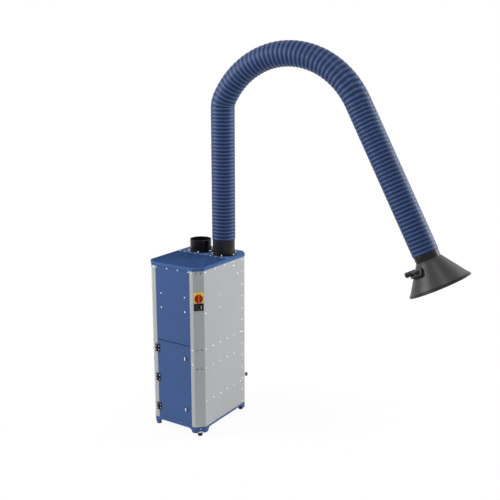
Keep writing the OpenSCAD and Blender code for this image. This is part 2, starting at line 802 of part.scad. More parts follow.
// Spiral of the housing, drawn in by an inset, with its straight throat towards the outlet
module scroll_outline(inset) {
    polygon([for (i = [0:scroll_steps])
        let (turn = scroll_from - i * (scroll_from + 180) / scroll_steps, r = scroll_radius(turn) - inset)
            r * [cos(turn), sin(turn)]]);
    translate([-scroll_max + inset, -over]) square([throat_w - 2 * inset, plenum_y0 - fan_y + over]);
}

module fan_housing() color(steel) translate([fan_x, fan_y, fan_z]) {
    difference() {
        linear_extrude(fan_h) scroll_outline(0);
        translate([0, 0, sheet_t]) linear_extrude(fan_h - 2 * sheet_t) scroll_outline(sheet_t);
        translate([-scroll_max + sheet_t, plenum_y0 - fan_y - 2 * sheet_t, sheet_t])
            cube([throat_w - 2 * sheet_t, 4 * sheet_t, fan_h - 2 * sheet_t]);
        translate([0, 0, -over]) cylinder(h = fan_h / 2, r = eye_r);
        cylinder(h = fan_h + over, r = shaft_r + over);
    }
    for (turn = [-135, -45, 45, 180]) rotate(turn) translate([scroll_min - 2 * leg_post_r, 0, tube_z + tube_t - fan_z])
        cylinder(h = fan_z - tube_z - tube_t, r = leg_post_r);
}

hub_r = 26;
wheel_z = fan_z + (fan_h - wheel_h) / 2;
blade_t = 3;
shaft_top = 60;

// Backward-curved wheel with its shaft
module fan_impeller() color(steel) translate([fan_x, fan_y, wheel_z]) {
    translate([0, 0, wheel_h - blade_t]) cylinder(h = blade_t, r = wheel_r);
    translate([0, 0, wheel_h / 2]) cylinder(h = wheel_h / 2, r = hub_r);
    pipe(wheel_r, wheel_r - eye_r, 0, blade_t);
    for (i = [0:blades - 1]) rotate(i * 360 / blades) translate([eye_r + 2 * blade_t, 0, blade_t / 2]) rotate(-40)
        cube([(wheel_r - eye_r) * 0.8, blade_t, wheel_h - blade_t]);
    translate([0, 0, wheel_h / 2]) cylinder(h = fan_h + fan_z - wheel_z - wheel_h / 2 + shaft_top, r = shaft_r);
}

motor_flange_t = 8;
fins = 24;
fin_w = 4;

module fan_motor() color(blue) translate([fan_x, fan_y, fan_z + fan_h]) difference() {
    union() {
        cylinder(h = motor_flange_t, r = motor_r + 2 * motor_flange_t);
        cylinder(h = motor_l, r = motor_r - fin_w);
        for (i = [0:fins - 1]) rotate(i * 360 / fins) translate([0, -fin_w / 2, motor_flange_t / 2])
            cube([motor_r, fin_w, motor_l * 0.8]);
    }
    translate([0, 0, -over]) cylinder(h = shaft_top + 3 * over, r = shaft_r + seat);
}

// The inlet duct to the filter chamber, and the plenum and riser from the fan to the open spigot
module air_ducts() color(zinc) {
    translate([inlet_x, spigot_y, 0]) pipe(spigot_r, sheet_t, tube_z + tube_t, lid_top - sheet_t);
    translate([plenum_x0, plenum_y0, fan_z]) difference() {
        cube([plenum_x1 - plenum_x0, plenum_y1 - plenum_y0, plenum_h]);
        translate([sheet_t, sheet_t, sheet_t])
            cube([plenum_x1 - plenum_x0 - 2 * sheet_t, plenum_y1 - plenum_y0 - 2 * sheet_t, plenum_h - 2 * sheet_t]);
        translate([sheet_t, -over, sheet_t]) cube([throat_w - 2 * sheet_t, sheet_t + 2 * over, fan_h - 2 * sheet_t]);
        translate([outlet_x - plenum_x0, spigot_y - plenum_y0, plenum_h / 2]) cylinder(h = plenum_h, r = spigot_hole_r);
    }
    translate([outlet_x, spigot_y, 0]) pipe(spigot_r, sheet_t, fan_z + plenum_h, lid_top - sheet_t);
}

gland_r = 12;
gland_l = 18;

module cable_gland() color(black) translate([-strip_x / 2, back_y, body_z + body_corner]) rotate([-90, 0, 0]) {
    cylinder(h = gland_l / 3, r = gland_r * 1.3, $fn = 6);
    difference() {
        cylinder(h = gland_l, r = gland_r);
        translate([0, 0, gland_l / 3]) cylinder(h = gland_l, r = gland_r / 2);
    }
}

// Door with its hinges and latches

hinge_x = -strip_x + panel_gap / 2;
hinge_y = front_y - knuckle_r;
hinge_shares = [0.12, 0.51, 0.895];
hinge_places = [for (share = hinge_shares) door_z + share * door_h];
leaf_t = 4;
leaf_inset = 2.5;
knuckle_split = 3;
knuckle_gap = 0.4;
seal_t = rebate_d - door_d - seat;
seal_w = 12;
latch_shares = [0.178, 0.838];
latch_places = [for (share = latch_shares) door_z + share * door_h];
latch_shank_r = 8;
latch_head_t = 5;
cam_w = 18;
cam_t = 3;
cam_reach = strip_x - lip_w / 2 - latch_x;
latch_wing = [24, 8, 9];

module door() color(blue) difference() {
    translate([0, front_y, door_z]) pan(2 * panel_x, door_h, door_d, lip_w - panel_gap);
    for (z = latch_places) translate([latch_x, front_y + door_d + over, z]) rotate([90, 0, 0])
        cylinder(h = door_d + 2 * over, r = latch_shank_r + run_fit);
}

module door_seal() color(black) translate([-panel_x, front_y + door_d, door_z]) difference() {
    cube([2 * panel_x, seal_t, door_h]);
    translate([seal_w, -over, seal_w]) cube([2 * panel_x - 2 * seal_w, seal_t + 2 * over, door_h - 2 * seal_w]);
}

// One leaf with the knuckles that belong to it: the outer ones on the frame, the middle one on the door
module hinge_leaf(z, side) {
    part_h = hinge_h / knuckle_split;
    translate([hinge_x, 0, z - hinge_h / 2]) difference() {
        union() {
            translate([side > 0 ? leaf_inset : -leaf_inset - hinge_leaf_w, front_y - leaf_t, 0])
                cube([hinge_leaf_w, leaf_t, hinge_h]);
            for (i = [0:knuckle_split - 1]) if ((i % 2 == 1) == (side > 0)) {
                translate([0, hinge_y, i * part_h + knuckle_gap])
                    cylinder(h = part_h - 2 * knuckle_gap, r = knuckle_r);
                translate([side > 0 ? 0 : -leaf_inset - over, hinge_y, i * part_h + knuckle_gap])
                    cube([leaf_inset + over, knuckle_r - seat, part_h - 2 * knuckle_gap]);
            }
        }
        translate([0, hinge_y, -over]) cylinder(h = hinge_h + 2 * over, r = hinge_pin_r + run_fit);
        for (i = [0:knuckle_split - 1]) if ((i % 2 == 1) != (side > 0))
            translate([0, hinge_y, i * part_h]) cylinder(h = part_h, r = knuckle_r + knuckle_gap);
    }
}

module hinge_screw_pair(z, side) {
    for (end = [-1, 1]) translate([hinge_x + side * (leaf_inset + hinge_leaf_w * 0.6), front_y - leaf_t, z + end * hinge_h / 4])
        outward(0, screw_h, screw_r);
}

module hinge_leaves_frame() color(black) for (z = hinge_places) hinge_leaf(z, -1);
module hinge_leaves_door() color(black) for (z = hinge_places) hinge_leaf(z, 1);
module hinge_screws_door() color(zinc) for (z = hinge_places) hinge_screw_pair(z, 1);
module hinge_pins() color(zinc) for (z = hinge_places)
    translate([hinge_x, hinge_y, z - hinge_h / 2]) cylinder(h = hinge_h, r = hinge_pin_r);

// Quarter-turn latch: head and wing outside, shank through the door, cam behind the lip
module latch(z) color(zinc) translate([latch_x, front_y, z]) {
    outward(0, latch_head_t, latch_r);
    translate([-latch_wing[1] / 2, -latch_head_t - latch_wing[2], -latch_wing[0] / 2])
        cube([latch_wing[1], latch_wing[2] + over, latch_wing[0]]);
    outward(-rebate_d - sheet_t - seat - cam_t, rebate_d + sheet_t + seat + cam_t, latch_shank_r);
    translate([0, rebate_d + sheet_t + seat, -cam_w / 2]) cube([cam_reach, cam_t, cam_w]);
}

module latch_upper() latch(latch_places[1]);
module latch_lower() latch(latch_places[0]);

// Route of the hose: up the riser, round the shoulder, over the arch and down the run

shoulder_z = cuff_top + shoulder_h;
arch_x = inlet_x + arch_r * cos(shoulder_lean);
arch_z = shoulder_z - arch_r * sin(shoulder_lean);
bend_top = acos((arch_x - inlet_x - shoulder_r) / (arch_r - shoulder_r));
bend_z = arch_z + (arch_r - shoulder_r) * sin(bend_top);
riser_l = bend_z - cuff_top;
bend_l = shoulder_r * bend_top * PI / 180;
arch_l = arch_r * (run_heading - bend_top) * PI / 180;
hose_l = riser_l + bend_l + arch_l + run_l;
run_start = [arch_x - arch_r * cos(run_heading), arch_z + arch_r * sin(run_heading)];

// Heading from straight up at a distance along the hose
function heading(s) =
    s < riser_l ? 0 :
    s < riser_l + bend_l ? (s - riser_l) / shoulder_r * 180 / PI :
    s < hose_l - run_l ? bend_top + (s - riser_l - bend_l) / arch_r * 180 / PI : run_heading;

// Place in X and Z at a distance along the hose
function place(s) =
    s < riser_l ? [inlet_x, cuff_top + s] :
    s < riser_l + bend_l ? [inlet_x + shoulder_r * (1 - cos(heading(s))), bend_z + shoulder_r * sin(heading(s))] :
    s < hose_l - run_l ? [arch_x - arch_r * cos(heading(s)), arch_z + arch_r * sin(heading(s))] :
    run_start + (s - hose_l + run_l) * [sin(run_heading), cos(run_heading)];

// Moves children to a distance along the hose, with Z along it
module at_hose(s) {
    translate([place(s)[0], spigot_y, place(s)[1]]) rotate([0, heading(s), 0]) children();
}

hose_sides = 8;
// Corners of an eight-sided ring stand outside the round one by this share, so that both have the same girth
girth_share = 1.04;
rib_pitch = hose_l / hose_ribs;

function hose_ring(s, r) = [for (i = [0:hose_sides - 1])
    let (p = place(s), a = heading(s), u = girth_share * r * cos(i * 360 / hose_sides),
         v = girth_share * r * sin(i * 360 / hose_sides))
    [p[0] + u * cos(a), spigot_y + v, p[1] - u * sin(a)]];

// Faces of a sleeve between rings, two triangles a side
function sleeve(first, rings, out) = [for (k = [0:rings - 2], i = [0:hose_sides - 1], half = [0, 1])
    let (a = first + k * hose_sides + i, b = first + k * hose_sides + (i + 1) % hose_sides,
         c = a + hose_sides, d = b + hose_sides, t = half == 0 ? [a, c, b] : [b, c, d])
    out ? t : [t[2], t[1], t[0]]];

// Faces of an end, from an outer ring to an inner one
function rim(outer, inner, out) = [for (i = [0:hose_sides - 1], half = [0, 1])
    let (j = (i + 1) % hose_sides, t = half == 0 ? [outer + i, outer + j, inner + i] : [outer + j, inner + j, inner + i])
    out ? t : [t[2], t[1], t[0]]];

// A stretch of ribbed hose from one rib to another, with its bore; rib counts are even
module hose(from, to) color("#2b4478") {
    rings = 2 * (to - from) + 1;
    bore_rings = (to - from) / 2 + 1;
    outer = [for (k = [0:rings - 1]) each hose_ring((from + k / 2) * rib_pitch, k % 2 == 1 ? hose_r : hose_r - hose_fold)];
    inner = [for (k = [0:bore_rings - 1]) each hose_ring((from + 2 * k) * rib_pitch, hose_bore_r)];
    bore_first = len(outer);
    last_outer = (rings - 1) * hose_sides;
    last_inner = bore_first + (bore_rings - 1) * hose_sides;
    polyhedron(concat(outer, inner), concat(sleeve(0, rings, true), sleeve(bore_first, bore_rings, false),
        rim(0, bore_first, true), rim(last_outer, last_inner, false)));
}

// Ribs where the stretches meet, as counts from the cuff
shoulder_first = 2 * round((riser_l + bend_l / 2 - 5 * rib_pitch) / rib_pitch / 2);
shoulder_last = shoulder_first + 10;
elbow_s = riser_l + bend_l + arch_r * (90 - bend_top) * PI / 180;
elbow_first = 2 * round((elbow_s - 6 * rib_pitch) / rib_pitch / 2);
elbow_last = elbow_first + 12;
wrist_first = hose_ribs - 6;
wrist_s = hose_l - wrist_back;

module hose_riser() hose(0, shoulder_first);
module hose_shoulder() hose(shoulder_first, shoulder_last);
module hose_upper() hose(shoulder_last, elbow_first);
module hose_elbow() hose(elbow_first, elbow_last);
module hose_fore() hose(elbow_last, wrist_first);
module hose_wrist() hose(wrist_first, hose_ribs);

// Arm inside the hose

lug_t = 10;
cheek_t = 6;
cheek_gap = 0.5;
lug_reach = 46;
cap_t = 5;
cap_lip = 1.5;
arm_pin_l = lug_t + 2 * cheek_gap + 2 * cheek_t;
pin_head_r = 11;
pin_head_t = 5;

// A lug with its bore at the origin, reaching along local -Z, centred on Y
module lug(t, reach) {
    rotate([90, 0, 0]) translate([0, 0, -t / 2]) linear_extrude(t) difference() {
        union() {
            circle(r = stay_r);
            translate([-stay_r, -reach]) square([2 * stay_r, reach]);
        }
        circle(r = arm_pin_r + run_fit);
    }
}

// The end of the part below a joint: two cheeks on a round cap
module fork(r) {
    for (side = [-1, 1]) translate([0, side * (lug_t / 2 + cheek_gap + cheek_t / 2), 0]) lug(cheek_t, lug_reach);
    translate([0, 0, -lug_reach]) cylinder(h = cap_t, r = r + cap_lip);
}

// The end of the part above a joint: one tongue on a round cap
module tongue(r, reach) {
    rotate([0, 180, 0]) lug(lug_t, reach);
    translate([0, 0, reach - cap_t]) cylinder(h = cap_t, r = r + cap_lip);
}

module arm_pin(s_place, turn) color(zinc) translate([s_place[0], spigot_y, s_place[1]]) rotate([90, turn, 0]) {
    translate([0, 0, -arm_pin_l / 2]) cylinder(h = arm_pin_l, r = arm_pin_r);
    for (side = [-1, 1]) translate([0, 0, side * (arm_pin_l + pin_head_t) / 2 - pin_head_t / 2])
        cylinder(h = pin_head_t, r = pin_head_r);
}

shoulder_place = [inlet_x, shoulder_z];
elbow_place = [arch_x, arch_z + arch_r];
module at_shoulder(turn) translate([inlet_x, spigot_y, shoulder_z]) rotate([0, turn, 0]) children();
module at_elbow(turn) translate([elbow_place[0], spigot_y, elbow_place[1]]) rotate([0, turn, 0]) children();

ledge_z = lid_top + inlet_h + bearing_t;
neck_r = 72;
neck_l = 58;
hub_h = 30;
vane_t = 3;
hub_wall = 4;
cuff_hub_z = cuff_top + hub_wall;

// Hub and vanes that hold a tube in the middle of a ring
module spider(hub_out, hub_bore, ring_r, h, vanes) {
    difference() {
        union() {
            cylinder(h = h, r = hub_out);
            for (i = [0:vanes - 1]) rotate(i * 360 / vanes) translate([hub_bore, -vane_t / 2, 0])
                cube([ring_r - hub_bore - spigot_t / 2, vane_t, h]);
        }
        translate([0, 0, hub_wall]) cylinder(h = h, r = hub_bore);
    }
}

// Black cuff that turns on the arm's spigot and carries the post and the hose
module swivel_cuff() color(black) translate([inlet_x, spigot_y, 0]) {
    pipe(cuff_r, spigot_t, cuff_z, cuff_top);
    pipe(cuff_r - spigot_t / 2, cuff_r - spigot_t / 2 - inlet_r + spigot_t + over, ledge_z, ledge_z + bearing_t);
    pipe(cuff_r - spigot_t / 2, cuff_r - spigot_t / 2 - neck_r + spigot_t, cuff_top - bearing_t, cuff_top);
    pipe(neck_r, spigot_t, cuff_top - bearing_t, cuff_top + neck_l);
    translate([0, 0, cuff_hub_z]) spider(post_r + hub_wall, post_r + seat / 3, neck_r, hub_h, 4);
}

module riser_post() color(steel) {
    translate([inlet_x, spigot_y, 0]) pipe(post_r, stay_t, cuff_hub_z + hub_wall, shoulder_z - lug_reach + cap_t / 2);
    at_shoulder(0) fork(post_r);
}

module shoulder_pin() arm_pin(shoulder_place, 0);
module elbow_pin() arm_pin(elbow_place, 0);
module wrist_pin() arm_pin(place(wrist_s), 0);

// Arc over which a lug reaches, in degrees of the arch
lug_turn = (lug_reach - cap_t / 2) / arch_r * 180 / PI;

// A bent tube along the arch between two headings
module arch_tube(from, to) {
    translate([arch_x, spigot_y, arch_z]) rotate([90, 0, 0]) rotate([0, 0, 180 - to])
        rotate_extrude(angle = to - from) translate([arch_r, 0]) difference() {
            circle(r = stay_r);
            circle(r = stay_r - stay_t);
        }
}

module upper_stay() color(steel) {
    arch_tube(shoulder_lean + lug_turn, 90 - lug_turn);
    at_shoulder(shoulder_lean + lug_turn / 2) tongue(stay_r, lug_reach);
    at_elbow(90 - lug_turn / 2) fork(stay_r);
}

module fore_stay() color(steel) {
    arch_tube(90 + lug_turn, run_heading);
    at_elbow(90 + lug_turn / 2) tongue(stay_r, lug_reach);
    at_hose(hose_l - run_l) {
        pipe(stay_r, stay_t, 0, run_l - wrist_back - lug_reach + cap_t / 2);
        pipe(stay_r + cap_lip, stay_t, -lug_t, lug_t);
    }
    at_hose(wrist_s) fork(stay_r);
}

// Collar that tilts with the hood: a tongue on the tilting pin, vanes, neck in the hose and the ring that shows
collar_in = collar_r - hood_t;
collar_neck = 40;
collar_step = 4;

module hood_collar() color(black) at_hose(hose_l) {
    pipe(collar_r, hood_t, 0, collar_l);
    pipe(collar_r - hood_t / 2, collar_r - hood_t / 2 - neck_r + spigot_t, 0, collar_step);
    pipe(neck_r, spigot_t, -collar_neck, collar_step);
    translate([0, 0, -wrist_back]) tongue(stay_r, wrist_back - collar_neck + cap_t);
    translate([0, 0, -collar_neck + cap_t]) mirror([0, 0, 1]) spider(stay_r, stay_r - hub_wall, neck_r, cap_t + hub_wall, 4);
}

// Hood, rim and handle

sleeve_l = 30;
sleeve_gap = 0.4;
cone_slope = (mouth_r - collar_r) / cone_l;
hood_end = collar_l + cone_l;
hood_wall = hood_t * sqrt(1 + cone_slope * cone_slope);

function cone_r(d) = collar_r + (d - collar_l) * cone_slope;

module hood() color("#4b4c4e") at_hose(hose_l) {
    rotate_extrude($fn = 96) polygon([
        [collar_in - sleeve_gap - hood_t, collar_l - sleeve_l], [collar_in - sleeve_gap, collar_l - sleeve_l],
        [collar_in - sleeve_gap, collar_l + sleeve_gap], [collar_r, collar_l + sleeve_gap],
        [mouth_r, hood_end], [mouth_r - hood_wall, hood_end],
        [collar_in - sleeve_gap - hood_t, collar_l + sleeve_gap + hood_t]]);
}

rim_fit = 0.6;
rim_seat = hood_end + 0.05;
rim_lip_t = 2;
rim_top = hood_end + rim_t / 2;
lip_first = hood_end - rim_lip;
inner_first = hood_end - rim_t;

// Soft edge strip that closes over the cone's end, with its longer lip on the outside
module hood_rim() color(black) at_hose(hose_l) rotate_extrude($fn = 96) polygon([
    [cone_r(lip_first) + rim_fit, lip_first], [cone_r(lip_first) + rim_lip_t, lip_first],
    [mouth_r + rim_lip_t, hood_end], [mouth_r, rim_top], [mouth_r - hood_wall, rim_top],
    [mouth_r - hood_wall - rim_lip_t, hood_end], [cone_r(inner_first) - hood_wall - rim_lip_t, inner_first],
    [cone_r(inner_first) - hood_wall - rim_fit, inner_first], [mouth_r - hood_wall - rim_fit, rim_seat],
    [mouth_r + rim_fit, rim_seat]]);

grip_s = collar_l + 46;
grip_stand = 12;
grip_from = collar_r + (grip_s - collar_l) * cone_slope + grip_stand;
clamp_w = 30;
strap_w = 13;
strap_gap = 7;
strap_first = collar_l + 41;
strap_last = collar_l + 68;
strap_turn = 80;

// The cone's outer surface as a solid, to cut what stands on it
module cone_solid() {
    translate([0, 0, collar_l]) cylinder(h = cone_l, r1 = collar_r, r2 = mouth_r, $fn = 96);
}

// A bar along the cone at its two arms
module strap_bar(r_in, w, h) {
    translate([cone_r(strap_first) + r_in, 0, strap_first]) rotate([0, atan(cone_slope), 0])
        translate([0, -w / 2, -w / 2]) cube([h, w, (strap_last - strap_first) / cos(atan(cone_slope)) + w]);
}

// Grip on a clamp that stands on the cone, with a strap of two arms round the cone's front
module hood_handle() color(black) at_hose(hose_l) {
    translate([grip_from, 0, grip_s]) rotate([0, 90, 0]) cylinder(h = grip_l, r = grip_r);
    difference() {
        translate([cone_r(grip_s) - clamp_w, -clamp_w / 2, grip_s - clamp_w / 2])
            cube([clamp_w + grip_stand + over, clamp_w, clamp_w]);
        cone_solid();
    }
    for (d = [strap_first, strap_last]) translate([0, 0, d - strap_w / 2]) rotate(-strap_turn)
        rotate_extrude(angle = strap_turn) translate([cone_r(d) + strap_gap, 0]) square(strap_w);
    for (turn = [0, -strap_turn]) rotate(turn) strap_bar(strap_gap, strap_w, strap_w);
    rotate(-strap_turn) difference() {
        strap_bar(-strap_w, strap_w / 2, 2 * strap_w);
        cone_solid();
    }
}

base_frame();
levelling_feet();
foot_studs();
floor_pan();
side_panel_left();
side_panel_right();
rear_panel();
front_panel();
mid_rail();
lid();
lid_grille();
inlet_spigot();
outlet_spigot();
seal_rings();
cabinet_screws();
rivets();
switch_plate();
switch_box();
hour_meter();
meter_window();
control_box();
air_fitting();
air_tank();
blow_pipe();
tube_sheet();
filter_cartridge();
filter_clamp();
dust_bin();
air_ducts();
fan_housing();
fan_motor();
hinge_leaves_frame();
hinge_pins();
cable_gland();
door();
door_seal();
hinge_leaves_door();
hinge_screws_door();
latch_upper();
latch_lower();
switch_knob();
air_knob();
fan_impeller();
swivel_cuff();
riser_post();
hose_riser();
shoulder_pin();
upper_stay();
hose_shoulder();
hose_upper();
elbow_pin();
fore_stay();
hose_elbow();
hose_fore();
wrist_pin();
hood_collar();
hose_wrist();
hood();
hood_rim();
hood_handle();
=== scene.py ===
"""Looks of a fume extraction arm that stands on a filter cabinet.

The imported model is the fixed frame. Each sub-assembly dresses its own nodes or stands in for them, and the
hose, the perforated sheet and every row of fasteners are made by Geometry Nodes from named sizes. All sizes
are in metres.
"""

import bisect
import json
import logging
import math
from abc import ABC, abstractmethod
from contextlib import contextmanager
from dataclasses import dataclass
from enum import Enum
from typing import Any, ClassVar, Iterable, Iterator, Mapping, Sequence

import bmesh
import bpy
from mathutils import Matrix, Vector

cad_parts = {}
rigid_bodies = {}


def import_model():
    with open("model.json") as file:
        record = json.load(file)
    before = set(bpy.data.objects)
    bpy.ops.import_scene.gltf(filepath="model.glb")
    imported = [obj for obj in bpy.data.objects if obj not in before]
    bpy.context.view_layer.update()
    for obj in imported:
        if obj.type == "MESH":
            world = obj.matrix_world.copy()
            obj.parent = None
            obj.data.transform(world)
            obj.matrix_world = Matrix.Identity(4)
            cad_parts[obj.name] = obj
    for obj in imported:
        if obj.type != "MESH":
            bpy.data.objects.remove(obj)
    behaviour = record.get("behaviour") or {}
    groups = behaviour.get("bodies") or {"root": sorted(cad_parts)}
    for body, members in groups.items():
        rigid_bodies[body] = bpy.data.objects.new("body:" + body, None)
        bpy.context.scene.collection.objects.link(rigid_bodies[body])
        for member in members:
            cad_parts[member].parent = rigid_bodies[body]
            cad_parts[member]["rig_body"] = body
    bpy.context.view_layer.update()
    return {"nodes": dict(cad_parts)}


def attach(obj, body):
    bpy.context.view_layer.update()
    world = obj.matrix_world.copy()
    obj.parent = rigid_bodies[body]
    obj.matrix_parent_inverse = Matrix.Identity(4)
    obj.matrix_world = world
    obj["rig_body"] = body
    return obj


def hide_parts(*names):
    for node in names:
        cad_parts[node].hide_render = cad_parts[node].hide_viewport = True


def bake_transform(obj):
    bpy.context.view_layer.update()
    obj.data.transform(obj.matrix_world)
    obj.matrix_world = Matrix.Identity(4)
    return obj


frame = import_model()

log = logging.getLogger("fume_arm")

Number = "float | Wire"
Colour = tuple[float, float, float, float]
Triple = tuple[float, float, float]
Section = Sequence[tuple[float, float]]
Ring = list[bmesh.types.BMVert]

UP, AHEAD, REARWARD = Vector((0.0, 0.0, 1.0)), Vector((0.0, -1.0, 0.0)), Vector((0.0, 1.0, 0.0))
SHARP_TURN = math.radians(32.0)
CORNERS = [(right, rear) for right in (False, True) for rear in (False, True)]


def tint(red: float, green: float, blue: float) -> Colour:
    """Turns a display colour of 0 to 255 a channel into the linear colour that a shader takes.

    Args:
        red: Display red.
        green: Display green.
        blue: Display blue.

    Returns:
        The linear colour, opaque.
    """
    def linear(channel: float) -> float:
        """One channel without the display's curve."""
        share = channel / 255
        return share / 12.92 if share <= 0.04045 else ((share + 0.055) / 1.055) ** 2.4

    return linear(red), linear(green), linear(blue), 1.0


def shade(colour: Colour, share: float) -> Colour:
    """Scales a linear colour's brightness by a share."""
    return colour[0] * share, colour[1] * share, colour[2] * share, 1.0


# ---- Node trees


class NodeBench:
    """A node tree under construction, for a material or for geometry."""

    def __init__(self, tree: bpy.types.NodeTree) -> None:
        """Starts with an empty tree."""
        self.tree = tree
        tree.nodes.clear()

    def node(self, kind: str, settings: Mapping[str, Any] | None = None,
             inputs: Mapping[str, Any] | None = None) -> bpy.types.Node:
        """Adds a node, sets it up, then fills its sockets.

        Args:
            kind: The node's type name.
            settings: The node's own settings.
            inputs: Values, sockets or wires by a socket's identifier or name.

        Returns:
            The new node.
        """
        made = self.tree.nodes.new(kind)
        for name, value in (settings or {}).items():
            setattr(made, name, value)
        for name, value in (inputs or {}).items():
            self.feed(self.socket(made, name), value)
        return made

    def socket(self, node: bpy.types.Node, name: str) -> bpy.types.NodeSocket:
        """Finds an input by its identifier, or else the first enabled one of that name.

        Args:
            node: The node to look at.
            name: The identifier or the name.

        Returns:
            The input socket.
        """
        for found in node.inputs:
            if found.identifier == name:
                return found
        return next(found for found in node.inputs if found.name == name and found.enabled)

    def feed(self, socket: bpy.types.NodeSocket, value: Any) -> None:
        """Links a wire or a socket into an input, or sets its value.

        Args:
            socket: The input.
            value: A wire, a socket or a plain value.
        """
        if isinstance(value, Wire):
            value = value.socket
        if isinstance(value, bpy.types.NodeSocket):
            self.tree.links.new(value, socket)
        else:
            socket.default_value = value


class Wire:
    """A number that varies over a surface. Its operators add Math nodes."""

    def __init__(self, bench: NodeBench, socket: bpy.types.NodeSocket) -> None:
        """Wraps an output socket of a bench's tree."""
        self.bench = bench
        self.socket = socket

    def math(self, operation: str, *others: Number) -> "Wire":
        """Adds a Math node with this number as its first value.

        Args:
            operation: The Math node's operation.
            others: The values after the first one.

        Returns:
            The node's result.
        """
        return _math(self.bench, operation, self, *others)

    def __add__(self, other: Number) -> "Wire":
        """This number and another, added."""
        return self.math("ADD", other)

    __radd__ = __add__

    def __sub__(self, other: Number) -> "Wire":
        """Another number taken from this one."""
        return self.math("SUBTRACT", other)

    def __rsub__(self, other: Number) -> "Wire":
        """This number taken from another."""
        return _math(self.bench, "SUBTRACT", other, self)

    def __mul__(self, other: Number) -> "Wire":
        """This number times another."""
        return self.math("MULTIPLY", other)

    __rmul__ = __mul__

    def __truediv__(self, other: Number) -> "Wire":
        """This number by another."""
        return self.math("DIVIDE", other)

    def __pow__(self, other: Number) -> "Wire":
        """This number to a power."""
        return self.math("POWER", other)

    def __abs__(self) -> "Wire":
        """This number without its sign."""
        return self.math("ABSOLUTE")

    def clamp(self) -> "Wire":
        """This number, held between 0 and 1."""
        return self.math("MAXIMUM", 0.0).math("MINIMUM", 1.0)

    def step(self, low: float, high: float) -> "Wire":
        """A soft step of this number.

        Args:
            low: Where the step starts, at 0.
            high: Where it ends, at 1.

        Returns:
            The step's value.
        """
        share = ((self - low) / (high - low)).clamp()
        return share * share * (3.0 - 2.0 * share)


def _math(bench: NodeBench, operation: str, *values: Number) -> Wire:
    """Adds a Math node.

    Args:
        bench: The bench it goes on.
        operation: Its operation.
        values: Its values in order, numbers or wires.

    Returns:
        Its result.
    """
    made = bench.node("ShaderNodeMath", {"operation": operation})
    for socket, value in zip(made.inputs, values):
        bench.feed(socket, value)
    return Wire(bench, made.outputs[0])


class SurfaceBench(NodeBench):
    """A material's tree. Patterns read the object's own coordinates."""

    def __init__(self, name: str) -> None:
        """Makes an empty material.

        Args:
            name: The material's name.
        """
        self.material = bpy.data.materials.new(name)
        self.material.use_nodes = True
        super().__init__(self.material.node_tree)
        self.place = self.node("ShaderNodeTexCoord").outputs["Object"]

    def stretched(self, scale: Triple) -> bpy.types.NodeSocket:
        """The place on the object, stretched along its axes."""
        return self.node("ShaderNodeMapping", inputs={"Vector": self.place, "Scale": scale}).outputs[0]

    def noise(self, scale: float, detail: float = 2.0, roughness: float = 0.5,
              place: bpy.types.NodeSocket | None = None) -> Wire:
        """Soft noise from 0 to 1.

        Args:
            scale: Waves a metre.
            detail: Octaves.
            roughness: Share of each finer octave.
            place: Coordinates, or the object's own.

        Returns:
            The noise.
        """
        made = self.node("ShaderNodeTexNoise", {"noise_dimensions": "3D"}, {
            "Vector": place or self.place, "Scale": scale, "Detail": detail, "Roughness": roughness})
        return Wire(self, made.outputs[0])

    def cells(self, scale: float) -> Wire:
        """Flat random cells from 0 to 1, as the spangle of plated steel.

        Args:
            scale: Cells a metre.

        Returns:
            The value of the cell that a point lies in.
        """
        made = self.node("ShaderNodeTexVoronoi", inputs={"Vector": self.place, "Scale": scale})
        split = self.node("ShaderNodeSeparateColor", inputs={"Color": made.outputs["Color"]})
        return Wire(self, split.outputs[0])

    def attribute(self, name: str) -> Wire:
        """A number that the mesh carries."""
        return Wire(self, self.node("ShaderNodeAttribute", {"attribute_name": name}).outputs["Fac"])

    def mix(self, share: Wire, first: Any, second: Any) -> bpy.types.NodeSocket:
        """Mixes two colours.

        Args:
            share: Share of the second colour.
            first: First colour.
            second: Second colour.

        Returns:
            The mixed colour.
        """
        made = self.node("ShaderNodeMix", {"data_type": "RGBA"},
                         {"Factor_Float": share, "A_Color": first, "B_Color": second})
        return next(found for found in made.outputs if found.identifier == "Result_Color")

    def bump(self, height: Wire, depth: float, strength: float) -> bpy.types.NodeSocket:
        """Raises the surface by a height of 0 to 1.

        Args:
            height: The height.
            depth: What a height of 1 is.
            strength: Share of the effect.

        Returns:
            The bent normal.
        """
        made = self.node("ShaderNodeBump", inputs={"Height": height, "Distance": depth, "Strength": strength})
        return made.outputs[0]

    def finish(self, **inputs: Any) -> bpy.types.Material:
        """Closes the tree with a surface shader.

        Args:
            inputs: Values or links of the shader's sockets, with spaces written as underscores.

        Returns:
            The material.
        """
        sockets = {name.replace("_", " "): value for name, value in inputs.items()}
        shader = self.node("ShaderNodeBsdfPrincipled", inputs=sockets)
        self.node("ShaderNodeOutputMaterial", inputs={"Surface": shader.outputs[0]})
        return self.material


# ---- Finishes


@dataclass(frozen=True)
class Finish(ABC):
    """What a surface is finished with, and the record's slot that it belongs to."""

    name: str
    slot: str
    colour: Colour
    roughness: float
    gloss: float = 0.16

    @abstractmethod
    def build(self) -> bpy.types.Material:
        """Makes the material."""

    def material(self) -> bpy.types.Material:
        """The finish's one material, made when first asked for."""
        return bpy.data.materials.get(self.name) or self.build()


